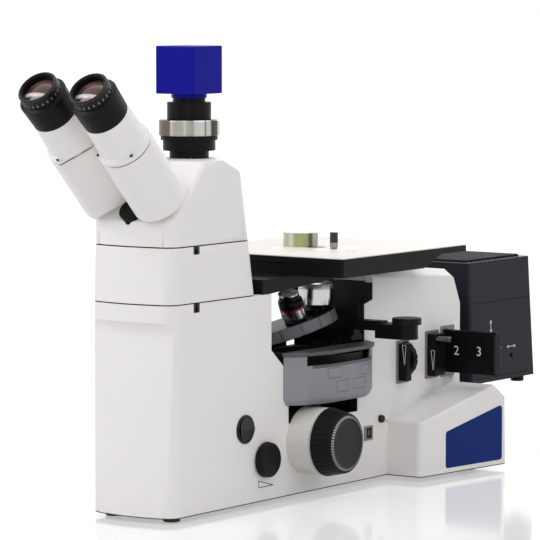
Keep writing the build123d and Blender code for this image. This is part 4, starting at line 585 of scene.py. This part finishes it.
def specimen_glass():
    """Clear block with painted reflections in olive, dark and pale stripes round its axis."""
    finish = Finish("specimen_glass", "a3a888", 0.06, grain=500, depth=0.0, tone=0.1, edge=0.0006, wear=0.6,
                    wear_colour="f4f6ea", coat=1.0)
    angle, _, _ = finish.about((*SPECIMEN_AT, 0), (0, 0, 1), REFLECTION_START)
    # Painted reflections: stripes at fixed angles round the specimen's axis.
    for low, high, soft, colour in ((-0.7, 0.1, 0.1, "9aa05a"), (0.1, 0.42, 0.05, "232a20"),
                                    (0.75, 1.1, 0.05, "2a322c"), (-1.1, -0.75, 0.1, "c3c6b4")):
        finish.paint(finish.band(angle, low, high, soft), colour)
    finish.paint(finish.band(finish.part(2), 281.0, 282.0, 0.1), "dfe3e2")
    return finish.done()


def objective_silver(name, seat, axis, rings):
    """Satin chrome sleeve with its coloured rings, measured up from its seat."""
    finish = Finish(name, "c4c4c6", 0.2, metallic=1.0, grain=900, depth=0.000003, tone=0.04, edge=0.0005,
                    wear=0.4, wear_colour="f0f0f0")
    _, _, height = finish.about(seat, axis)
    for lowest, highest, colour, roughness in rings:
        finish.paint(finish.band(height, lowest, highest, 0.1), colour, roughness)
    return finish.done()


def objective_place(index):
    """Seat and axis of one objective on the tilted revolver."""
    angle = math.radians(72.0 * index)
    across = REVOLVER_UP.cross(REVOLVER_RISE)
    radial = REVOLVER_RISE * math.cos(angle) + across * math.sin(angle)
    axis = REVOLVER_UP * math.cos(TILT) + radial * math.sin(TILT)
    return REVOLVER_CENTRE + radial * SEAT_CIRCLE_R, axis


def revolver_finish():
    """Black disc with a grey knurled ring round it."""
    finish = Finish("revolver", "151518", 0.38, grain=1500, depth=0.00001, tone=0.1, edge=0.0008, wear=0.4,
                    wear_colour="54545a", specular=0.25)
    angle, distance, _ = finish.about(REVOLVER_CENTRE, REVOLVER_UP)
    ring = finish.band(distance, 56.6, 60, 0.2)
    finish.paint(ring, "85858d", 0.4)
    groups = finish.ticks(angle, 15, 0.22)
    finish.paint(finish.both(finish.ticks(angle, 180, 0.4), groups, ring), "2c2c30")
    finish.raise_by(finish.both(finish.teeth(angle, 360), ring), 0.00008)
    return finish.done()


def knurled_wheel():
    finish = Finish("knurled_wheel", "101012", 0.5, grain=1500, depth=0.00002, tone=0.12, specular=0.22)
    angle, distance, _ = finish.about(REFLECTOR_AXIS, (0, 0, 1))
    rim = finish.band(distance, 51.5, 54, 0.1)
    finish.raise_by(finish.both(finish.teeth(angle, 170), rim), 0.0005)
    return finish.done()


def drive_disc():
    """Fine focus disc: black, with a silver scale round its edge."""
    finish = Finish("drive_disc", "17171a", 0.55, grain=1400, depth=0.00003, tone=0.1, edge=0.0005,
                    specular=0.25)
    angle, distance, _ = finish.about((0, DRIVE_Y, DRIVE_Z), (1, 0, 0), (0, 1, 0))
    ring = finish.band(distance, 27.6, 31, 0.1)
    finish.paint(ring, "8f8f92", 0.3, 0.8)
    finish.paint(finish.both(ring, finish.ticks(angle, 60, 0.45)), "2a2a2d")
    finish.raise_by(finish.both(ring, finish.teeth(angle, 90)), 0.0003)
    return finish.done()


def eyepiece_black():
    return Finish("eyepiece_black", "100f12", 0.42, grain=1600, depth=0.00003, tone=0.12, edge=0.0006,
                  wear=0.3, wear_colour="38383e", specular=0.12).done()


def ring_black(side):
    """Diopter ring with white strokes round its edge."""
    finish = Finish(f"diopter_ring_{side}", "0d0d0f", 0.42, grain=1600, depth=0.00002, tone=0.12, edge=0.0005,
                    specular=0.22)
    x = EYE_X if side == "right" else -EYE_X
    angle, distance, height = finish.about((x, TUBE_FOOT.y, TUBE_FOOT.z), TUBE_UP)
    marks = finish.both(finish.ticks(angle, 24, 0.1), finish.band(height, 161.2, 164.4, 0.1),
                        finish.band(distance, 21.3, 23, 0.1))
    finish.paint(marks, "d8d8d8")
    finish.raise_by(finish.both(finish.teeth(angle, 60), finish.band(height, 165, 170, 0.2)), 0.0002)
    return finish.done()


def post_finish():
    """Steel foot and a black knurled head."""
    finish = Finish("clamp_post", "8d8d98", 0.3, metallic=0.9, grain=1500, depth=0.00001, tone=0.05,
                    edge=0.0004)
    angle, _, height = finish.about((*POST_AT, 0), (0, 0, 1))
    finish.paint(finish.band(height, 272.5, 290, 0.3), "121214", 0.5, 0.0)
    finish.raise_by(finish.both(finish.teeth(angle, 36), finish.band(height, 273, 282, 0.1)), 0.0002)
    return finish.done()


def bezel_finish():
    """Black ring of the rocker, and a small framed window with a pale stop in its black field."""
    finish = Finish("bezel_black", "141416", 0.35, grain=1600, depth=0.00001, tone=0.1, edge=0.0005, wear=0.5,
                    wear_colour="55555a", specular=0.2)
    y, z = finish.part(1), finish.part(2)
    outer = finish.both(finish.band(y, 16, 34), finish.band(z, 48, 66))
    inner = finish.both(finish.band(y, 19.8, 30.2), finish.band(z, 51, 63))
    finish.paint(math_node(finish.tree, "SUBTRACT", outer, inner, clamp=True), "8b8578", 0.4)
    finish.paint(finish.both(finish.band(y, 25.2, 27.4, 0.3), finish.band(z, 54.5, 60, 0.3)), "6f6f70", 0.4)
    return finish.done()


def dress_nodes():
    """Gives every carried-over piece its finish."""
    black, plastic, white = black_metal(), black_plastic(), white_paint().done()
    sleeve, steel, turned = sleeve_paint(), plain_steel(), turned_steel()
    prism, charcoal, eye = clear_glass("prism_glass", "e4eef0"), lamp_charcoal(), eye_glass()
    active_seat, active_axis = objective_place(0)
    red_seat, red_axis = objective_place(4)
    table = {
        "stand_housing": stand_paint(), "base_plate": black, "rubber_feet": foot_rubber(),
        "side_panels": blue_panel(), "fold_prisms": prism, "light_path_lenses": prism,
        "power_board": board_green(), "cap_screws": plastic, "mains_inlet": plastic, "power_switch": plastic,
        "tube_riser": riser_paint(), "head_housing": white, "binocular_hub": black,
        "prism_arm_right": white, "prism_arm_left": white, "tube_sleeve_right": sleeve,
        "tube_sleeve_left": sleeve, "eyepiece_right": eyepiece_black(),
        "diopter_ring_right": ring_black("right"), "diopter_ring_left": ring_black("left"),
        "eye_lens_right": eye, "eye_lens_left": eye, "camera_port": black, "camera_clamp_ring": turned,
        "camera_adapter": black, "camera_body": camera_blue(), "stage_plate": black,
        "stage_top": stage_cream(), "stage_frame": black, "stage_insert": insert_satin(),
        "specimen": specimen_glass(), "clamp_post": post_finish(), "nosepiece_turret": revolver_finish(),
        "nosepiece_carrier": black,
        "objective_active": objective_silver(
            "objective_wide", active_seat, active_axis,
            [(0, 4.3, "1a1a1c", 0.4), (28.6, 34.9, "d9d6cc", 0.35), (28.0, 28.6, "2a2a2c", 0.4)]),
        "objective_red_ring": objective_silver(
            "objective_red", red_seat, red_axis,
            [(0, 5, "1a1a1c", 0.4), (19.5, 21.5, "b02030", 0.4), (21.5, 36.5, "1b1b1e", 0.35)]),
        "focus_rack": steel, "coarse_shaft": steel, "coarse_knobs": plastic, "fine_drive": drive_disc(),
        "focus_collars": collar_white(), "reflector_turret": knurled_wheel(), "reflector_cover": cover_grey(),
        "intensity_knob": plastic, "switch_bezels": bezel_finish(), "two_position_rocker": button_black(),
        "push_button": button_black(), "module_frames": frame_grey(), "diaphragm_modules": black,
        "aperture_wheel": plastic, "field_stop_screw": turned, "filter_slider": black,
        "analyser_slider": black, "analyser_knob": plastic, "lamp_housing": charcoal, "lamp_door": charcoal,
        "lamp_bulb": clear_glass("bulb_glass", "f2f2ea"), "lamp_clamp_knob": plastic,
    }
    table["eyepiece_left"] = table["eyepiece_right"]
    table["objectives_slender"] = Finish("objective_slender", "b9b9bc", 0.24, metallic=1.0, grain=900,
                                         depth=0.000004, tone=0.05, edge=0.0005).done()
    for name, node in nodes.items():
        node.data.materials.clear()
        node.data.materials.append(table[name])
        for face in node.data.polygons:
            face.material_index = 0
    return table


# Shaping by hand
def deselect():
    bpy.ops.object.select_all(action="DESELECT")


def take(piece):
    deselect()
    piece.select_set(True)
    bpy.context.view_layer.objects.active = piece


def edit(piece):
    take(piece)
    bpy.ops.object.mode_set(mode="EDIT")
    bpy.ops.mesh.select_mode(type="VERT")


def leave():
    bpy.ops.object.mode_set(mode="OBJECT")


def choose(piece, wanted):
    """Selects the vertices whose place passes the test, in the drawing's millimetres."""
    leave()
    mesh = piece.data
    for items in (mesh.vertices, mesh.edges, mesh.polygons):
        items.foreach_set("select", [False] * len(items))
    for vertex in mesh.vertices:
        vertex.select = wanted((vertex.co - OBJECTIVE) / MM)
    bpy.ops.object.mode_set(mode="EDIT")


def settle(piece, name, material, body, angle=35, replaced=()):
    """Finishes a piece: place applied, smooth where it is round, its material and body."""
    take(piece)
    bpy.ops.object.transform_apply(location=True, rotation=True, scale=True)
    bpy.ops.object.shade_smooth_by_angle(angle=math.radians(angle))
    modifier = piece.modifiers.new("even_shading", "WEIGHTED_NORMAL")
    modifier.keep_sharp = True
    bpy.ops.object.modifier_apply(modifier=modifier.name)
    piece.name = name
    piece.data.name = name
    piece.data.materials.clear()
    piece.data.materials.append(material)
    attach(piece, body)
    if replaced:
        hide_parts(*replaced)
    deselect()


def cast_of(node, name):
    """A copy of a carried-over piece with its own merged mesh, for further shaping."""
    piece = bpy.data.objects.new(name, nodes[node].data.copy())
    bpy.context.scene.collection.objects.link(piece)
    edit(piece)
    bpy.ops.mesh.select_all(action="SELECT")
    bpy.ops.mesh.remove_doubles(threshold=0.000002)
    leave()
    return piece


def soften(piece, width, segments, angle):
    """Rounds every sharp edge of a piece."""
    take(piece)
    modifier = piece.modifiers.new("rounding", "BEVEL")
    modifier.width = width * MM
    modifier.segments = segments
    modifier.limit_method = "ANGLE"
    modifier.angle_limit = math.radians(angle)
    bpy.ops.object.modifier_apply(modifier=modifier.name)


def join(pieces):
    deselect()
    for piece in pieces:
        piece.select_set(True)
    bpy.context.view_layer.objects.active = pieces[0]
    bpy.ops.object.join()
    return pieces[0]


def bar(middle, size, turned=None):
    """A rectangular piece round a middle, its sides in millimetres."""
    deselect()
    bpy.ops.mesh.primitive_cube_add(size=1)
    piece = bpy.context.object
    turned = turned or Matrix.Identity(4)
    stretched = Matrix.Diagonal(Vector(size) * MM).to_4x4()
    piece.matrix_world = Matrix.Translation(at(*middle)) @ turned @ stretched
    take(piece)
    bpy.ops.object.transform_apply(location=True, rotation=True, scale=True)
    return piece


def shift_chosen(piece, wanted, millimetres):
    """Moves the vertices that pass the test."""
    choose(piece, wanted)
    bpy.ops.transform.translate(value=Vector(millimetres) * MM)
    leave()


def stretch_chosen(piece, wanted, shares, middle):
    """Stretches the vertices that pass the test away from a middle."""
    choose(piece, wanted)
    bpy.ops.transform.resize(value=shares, center_override=middle)
    leave()


def slice_at(piece, axis, places):
    """Cuts a row of edges through a piece at each place along an axis of the drawing."""
    normal = [0, 0, 0]
    normal[axis] = 1
    edit(piece)
    for place in places:
        bpy.ops.mesh.select_all(action="SELECT")
        spot = [0, 0, 0]
        spot[axis] = place
        bpy.ops.mesh.bisect(plane_co=at(*spot), plane_no=normal, threshold=0.000001)
    leave()


def lattice_pull(piece, low, high, points, pull):
    """Applies a lattice between two corners; pull gives each point's shift in millimetres."""
    deselect()
    centre = (Vector(low) + Vector(high)) / 2
    size = (Vector(high) - Vector(low)) * MM
    bpy.ops.object.add(type="LATTICE", location=at(*centre))
    cage = bpy.context.object
    cage.scale = size
    data = cage.data
    data.points_u, data.points_v, data.points_w = points
    data.interpolation_type_u = data.interpolation_type_v = data.interpolation_type_w = "KEY_LINEAR"
    for point in data.points:
        place = [centre[k] + point.co[k] * size[k] / MM for k in range(3)]
        shift = pull(*place)
        point.co_deform = [point.co[k] + shift[k] * MM / size[k] for k in range(3)]
    take(piece)
    modifier = piece.modifiers.new("pull", "LATTICE")
    modifier.object = cage
    bpy.ops.object.modifier_apply(modifier=modifier.name)
    bpy.data.objects.remove(cage)


# The tower's curved front: rows of edges to bend it at, and how far its sides lie behind its middle
FRONT_ROWS = [-50.5, -46, -40, -33, -26, -19.5, -13, -6.5, 0, 6.5, 13, 19.5, 26, 33, 40, 46, 50.5]
TOWER_HALF_X, TOWER_FRONT_Y, BOW_REAR_Y, BOW_DEEP, BOW_FORWARD = 54.2, -343, -322, 10.0, 7.0
BOW_COLUMNS = 37


def bow_front(piece, z):
    """Gives a tower cover its gently curved front, fullest in the middle."""
    def bow(x, y, _):
        return (0, BOW_DEEP * (x / TOWER_HALF_X) ** 2 - BOW_FORWARD if y < TOWER_FRONT_Y + 3 else 0.0, 0)
    slice_at(piece, 0, FRONT_ROWS)
    lattice_pull(piece, (-TOWER_HALF_X, TOWER_FRONT_Y, z[0]), (TOWER_HALF_X, BOW_REAR_Y, z[1]),
                 (BOW_COLUMNS, 2, 2), bow)


def tower_covers(finish):
    """Stand casting with its rear shoulder drawn down, riser and head, with the curved front."""
    stand = cast_of("stand_housing", "stand_casting")
    bow_front(stand, (4, 245))
    lattice_pull(stand, (-55, 34, 200), (55, 217, 244), (2, 2, 2),
                 lambda x, y, z: (0, 10, -17) if y > 200 and z > 240 else (0, 0, 0))
    settle(stand, "stand_casting", finish["stand_housing"], "root", 28, ["stand_housing"])
    riser = cast_of("tube_riser", "riser_cover")
    bow_front(riser, (227, 290))
    settle(riser, "riser_cover", finish["tube_riser"], "root", 28, ["tube_riser"])
    head = cast_of("head_housing", "head_cover")
    bow_front(head, (288, 377))
    lattice_pull(head, (-55, -345, 347), (55, -180, 371), (2, 2, 2),
                 lambda x, y, z: (0, 0, 4.7 if z > 360 else 0.0))
    shift_chosen(head, lambda p: p.z > 379, (0, 0, -4.5))
    settle(head, "head_cover", finish["head_housing"], "root", 28, ["head_housing"])


TILTED = Matrix((Vector((1, 0, 0)), TUBE_BACK, TUBE_UP)).transposed().to_4x4()


def on_tubes(x, t, w):
    """A place across and along the eyepiece axes."""
    return at(*(TUBE_FOOT + Vector((x, 0, 0)) + TUBE_BACK * t + TUBE_UP * w))


def drum(place, radius, height, sides=64):
    """A cylinder standing on a place, along the eyepiece axes."""
    deselect()
    bpy.ops.mesh.primitive_cylinder_add(vertices=sides, radius=radius * MM, depth=height * MM)
    piece = bpy.context.object
    piece.matrix_world = Matrix.Translation(place) @ TILTED @ Matrix.Translation((0, 0, height / 2 * MM))
    bpy.ops.object.transform_apply(location=True, rotation=True, scale=True)
    return piece


def trim(piece, side, grown=0.0):
    """Cuts an arm to its flat and to the slope that lets it fold, and the left one to its crease."""
    flats = [((side * (EYE_X - ARM_FLAT_X + grown), 0), (-side, 0)),
             ((side * (FOLD_CLEARANCE + grown), HINGE_T), (-side, FOLD_SLOPE))]
    if side < 0:
        flats.append(((-EYE_X + ARM_CREASE[0], ARM_CREASE[1] + grown), (1, -1)))
    edit(piece)
    for spot, outward in flats:
        bpy.ops.mesh.select_all(action="SELECT")
        bpy.ops.mesh.bisect(plane_co=on_tubes(*spot, 0), plane_no=TILTED.to_3x3() @ Vector((*outward, 0)),
                            use_fill=True, clear_outer=True)
    leave()
    return piece


def arm_block(side, w, shrink=0.0):
    """A length of the arm's section: round outside, flat towards the other arm."""
    return trim(drum(on_tubes(side * EYE_X, 0, w[0]), ARM_R - shrink, w[1] - w[0], 96), side, shrink)


def prism_arms(finish, screw_finish):
    """Arm castings, their screwed lids and the tapered sleeves of the eyepieces."""
    for side, word in ((1, "right"), (-1, "left")):
        arm = arm_block(side, (0, ARM_TOP_W))
        soften(arm, 1.6, 4, 35)
        settle(arm, f"arm_casting_{word}", finish["prism_arm_right"], f"arm_{word}", 30,
               [f"prism_arm_{word}"])
        lid = arm_block(side, LID_W)
        soften(lid, 1.2, 3, 35)
        seat = arm_block(side, (ARM_TOP_W - 0.5, LID_W[0] + 0.5), 1.2)
        sleeve = drum(on_tubes(side * EYE_X, 0, SLEEVE_FOOT_W), SLEEVE_R, SLEEVE_LONG, 96)
        stretch_chosen(sleeve, lambda p: (p - (TUBE_FOOT + TUBE_UP * SLEEVE_TOP_W)).dot(TUBE_UP) > -5,
                       (SLEEVE_TAPER, SLEEVE_TAPER, SLEEVE_TAPER), on_tubes(side * EYE_X, 0, SLEEVE_TOP_W))
        flare = drum(on_tubes(side * EYE_X, 0, FLARE_W), FLARE_R, FLARE_LONG, 96)
        soften(flare, 1.8, 6, 35)
        trim(flare, side)
        settle(join([lid, seat, sleeve, flare]), f"sleeve_with_lid_{word}", finish["tube_sleeve_right"],
               f"arm_{word}", 30, [f"tube_sleeve_{word}"])
        heads = []
        for x, t in LID_SCREW_PLACES[word]:
            head = drum(on_tubes(side * EYE_X + x, t, LID_SCREW_W), 1.9, 1.6, 24)
            soften(head, 0.25, 2, 35)
            heads.append(head)
        settle(join(heads), f"lid_screws_{word}", screw_finish, f"arm_{word}", 30)
    hub = drum(on_tubes(0, HUB_T, HUB_W), HUB_R, HUB_LONG)
    soften(hub, 1.0, 3, 35)
    settle(hub, "hinge_hub", finish["binocular_hub"], "root", 30, ["binocular_hub"])


def under_stage_frame(finish):
    """Black frame under the plate, thinned over the bay and cut short behind it."""
    piece = cast_of("stage_frame", "stage_underframe")
    slice_at(piece, 1, [-163.5])
    shift_chosen(piece, lambda p: p.z < 229 and p.y > -163, (0, 0, 12))
    shift_chosen(piece, lambda p: p.y > 100, (0, -44, 0))
    shift_chosen(piece, lambda p: p.y > 80 and p.z < 246, (0, -36, 0))
    settle(piece, "stage_underframe", finish["stage_frame"], "root", 28, ["stage_frame"])


MARK_THICK = 0.16


def strokes(origin, across, upward, lines, width):
    """A flat mark made of straight strokes, in millimetres on a face of the object."""
    across, upward = Vector(across).normalized(), Vector(upward).normalized()
    outward = across.cross(upward)
    bars = []
    for (u0, v0), (u1, v1) in lines:
        along = across * (u1 - u0) + upward * (v1 - v0)
        middle = Vector(origin) + across * (u0 + u1) / 2 + upward * (v0 + v1) / 2
        rows = (along.normalized(), outward.cross(along.normalized()), outward)
        turned = Matrix(rows).transposed().to_4x4()
        bars.append(bar(middle, (along.length + width * 0.8, width, MARK_THICK), turned))
    return join(bars)


def closed(points):
    return list(zip(points, points[1:] + points[:1]))


def lettering(text, place, height, turned):
    """Raised digits on a face."""
    deselect()
    bpy.ops.object.text_add()
    label = bpy.context.object
    label.data.body = text
    label.data.align_x, label.data.align_y = "CENTER", "CENTER"
    label.data.size = height * 1.38 * MM
    label.data.extrude = 0.08 * MM
    bpy.ops.object.convert(target="MESH")
    label = bpy.context.object
    label.matrix_world = Matrix.Translation(at(*place)) @ turned
    return label


SLIDER_DIGITS = (("2", (73.9, 178.55, 137.4)), ("3", (104.4, 178.55, 137.9)))
DIGIT_HEIGHT = 11.0


def slider_marks(white):
    """Numbers of the filter slider's places."""
    upright = Matrix.Rotation(math.radians(90), 4, "X")
    marks = [lettering(digit, place, DIGIT_HEIGHT, upright) for digit, place in SLIDER_DIGITS]
    for mark in marks:
        take(mark)
        bpy.ops.object.transform_apply(location=True, rotation=True, scale=True)
    settle(join(marks), "slider_numbers", white, "filter_tray", 30)


DOOR_LEAN = 3.5 / 143.5     # how far the lamp's side leans in for each millimetre up


def side_marks(dark, white):
    """Wedge mark under the light knob, and the adjusting arrows on the lamp door."""
    wedge = strokes((54.15, -186, 20.6), (0, 1, 0), (0, 0, 1), closed([(0, 0), (26.8, 0), (0, 7.2)]), 0.9)
    settle(wedge, "light_wedge_mark", dark, "root", 30)
    lean = (-DOOR_LEAN, 0, 1)
    origin = (50.5 - DOOR_LEAN * 36 + 0.05, 294, 125)
    up = strokes(origin, (0, 1, 0), lean,
                 [((0, 22), (0, 37)), ((0, 37), (-1.8, 33.5)), ((0, 37), (1.8, 33.5)),
                  ((0, 22), (-1.8, 25.5)), ((0, 22), (1.8, 25.5))], 0.9)
    slant = strokes(origin, (0, 1, 0), lean, [((12.5, -6), (21.5, 3))], 1.0)
    level = strokes(origin, (0, 1, 0), lean,
                    [((36, 2.2), (54, 2.2)), ((36, 2.2), (39, 3.8)), ((54, 2.2), (51, 3.8)),
                     ((36, 2.2), (39, 0.6)), ((54, 2.2), (51, 0.6))], 0.8)
    settle(join([up, slant, level]), "lamp_arrows", white, "root", 30)


MODULES_OUT = 9.5


def module_inserts(finish, white):
    """Diaphragm inserts standing proud of their frames, the wheel between them and their wedge marks."""
    inserts = cast_of("diaphragm_modules", "diaphragm_inserts")
    shift_chosen(inserts, lambda p: p.x > 56.5, (MODULES_OUT, 0, 0))
    soften(inserts, 0.6, 2, 40)
    settle(inserts, "diaphragm_inserts", finish["diaphragm_modules"], "root", 30,
           ["diaphragm_modules"])
    wheel = cast_of("aperture_wheel", "aperture_thumbwheel")
    stretch_chosen(wheel, lambda p: True, (1.22, 1, 1.22), at(48, 99, 134))
    settle(wheel, "aperture_thumbwheel", finish["aperture_wheel"], "aperture_dial", 30,
           ["aperture_wheel"])
    pin = cast_of("field_stop_screw", "field_stop_knob")
    shift_chosen(pin, lambda p: p.x > 57, (MODULES_OUT, 0, 0))
    settle(pin, "field_stop_knob", finish["field_stop_screw"], "field_stop", 30,
           ["field_stop_screw"])
    first = strokes((60.4, 85.2, 129), (1, 0, 0), (0, 0, 1), closed([(0, 22.5), (5.0, 22.0), (3.2, 0)]), 0.55)
    second = strokes((60.4, 145.3, 117), (1, 0, 0), (0, 0, 1), closed([(0, 23), (5.0, 23), (3.2, 0)]), 0.55)
    settle(join([first, second]), "insert_wedges", white, "root", 30)


FINS_Y, FIN_COUNT, FIN_SIZE, FIN_MIDDLE_Z = (253, 375), 12, (78, 3.6, 4.0), 233.4


def lamp_fins(finish):
    """Cooling fins standing across the lamp housing's top."""
    pitch = (FINS_Y[1] - FINS_Y[0]) / FIN_COUNT
    whole = join([bar((0, FINS_Y[0] + pitch * (k + 0.5), FIN_MIDDLE_Z), FIN_SIZE) for k in range(FIN_COUNT)])
    soften(whole, 0.5, 2, 40)
    settle(whole, "lamp_fins", finish["lamp_housing"], "root", 30)


def cover_and_frames(finish):
    """Reflector cover set 8 mm forward in its bay, and the wider frame of the small window."""
    cover = cast_of("reflector_cover", "reflector_cover_shell")
    shift_chosen(cover, lambda p: True, (0, -8, 0))
    settle(cover, "reflector_cover_shell", finish["reflector_cover"], "root", 30,
           ["reflector_cover"])
    frames = cast_of("switch_bezels", "control_frames")
    stretch_chosen(frames, lambda p: abs(p.y - 25) < 9 and 48 < p.z < 66, (1, 1.75, 1.05), at(54, 25, 57))
    settle(frames, "control_frames", finish["switch_bezels"], "root", 30, ["switch_bezels"])


def tall_post(finish):
    """Clamp post of the stage, with its head drawn out."""
    post = cast_of("clamp_post", "clamp_post_tall")
    stretch_chosen(post, lambda p: p.z > STAGE_TOP_Z, (1.12, 1.12, 1.6), at(*POST_AT, STAGE_TOP_Z))
    settle(post, "clamp_post_tall", finish["clamp_post"], "stage_post", 30, ["clamp_post"])


# Boxes of the dark sheets that stand in for shade in the open nosepiece bay
BAY_SHADE_SHEET_BOXES = (((-53.9, -128, 85), (-51.9, 17, 160)), ((-53.9, 34, 150), (-51.9, 48, 243)))


def bay_shade_sheets(finish):
    """Dark sheets on the far side of the nosepiece bay, below the turret and behind it: painted shade, not
    part of the stand.
    """
    parts = []
    for low, high in BAY_SHADE_SHEET_BOXES:
        shade_sheet = bar([(a + b) / 2 for a, b in zip(low, high)], [b - a for a, b in zip(low, high)])
        soften(shade_sheet, 0.5, 2, 40)
        parts.append(shade_sheet)
    settle(join(parts), "bay_painted_shade", finish["stage_frame"], "root", 30)


def widened(piece, seat, axis, share):
    """Widens a turned piece about its own axis."""
    up = Vector(axis).normalized()
    side = up.orthogonal().normalized()
    frame_rows = Matrix((side, up.cross(side), up))
    edit(piece)
    bpy.ops.mesh.select_all(action="SELECT")
    bpy.ops.transform.resize(value=(share, share, 1), orient_type="GLOBAL", orient_matrix=frame_rows,
                             orient_matrix_type="GLOBAL", center_override=at(*seat))
    leave()


def nosepiece_dress(finish):
    """Fuller objectives and a deeper rim for the revolver."""
    for node, index, share in (("objective_active", 0, 1.16), ("objective_red_ring", 4, 1.14)):
        piece = cast_of(node, node)
        widened(piece, *objective_place(index), share)
        settle(piece, node + "_barrel", finish[node], "nosepiece", 30, [node])
    disc = cast_of("nosepiece_turret", "revolver_disc")

    def under_rim(p):
        away = p - REVOLVER_CENTRE
        height = away.dot(REVOLVER_UP)
        return height < -8 and (away - REVOLVER_UP * height).length > 50
    shift_chosen(disc, under_rim, -REVOLVER_UP * 3.5)
    settle(disc, "revolver_disc", finish["nosepiece_turret"], "nosepiece", 30,
           ["nosepiece_turret"])


def plain(name, colour, roughness=0.45):
    return Finish(name, colour, roughness, grain=1500, depth=0.000005, tone=0.05, edge=0.0002,
                  specular=0.3).done()


bpy.context.scene.view_settings.view_transform = "Standard"
set_up_camera()
set_up_studio()
finishes = dress_nodes()
screw_black = plain("screw_black", "2a2a2d", 0.35)
mark_white, mark_black = plain("mark_white", "e6e6e4"), plain("mark_black", "26262a")
tower_covers(finishes)
prism_arms(finishes, screw_black)
under_stage_frame(finishes)
slider_marks(mark_white)
side_marks(mark_black, mark_white)
module_inserts(finishes, mark_white)
lamp_fins(finishes)
bay_shade_sheets(finishes)
cover_and_frames(finishes)
tall_post(finishes)
nosepiece_dress(finishes)
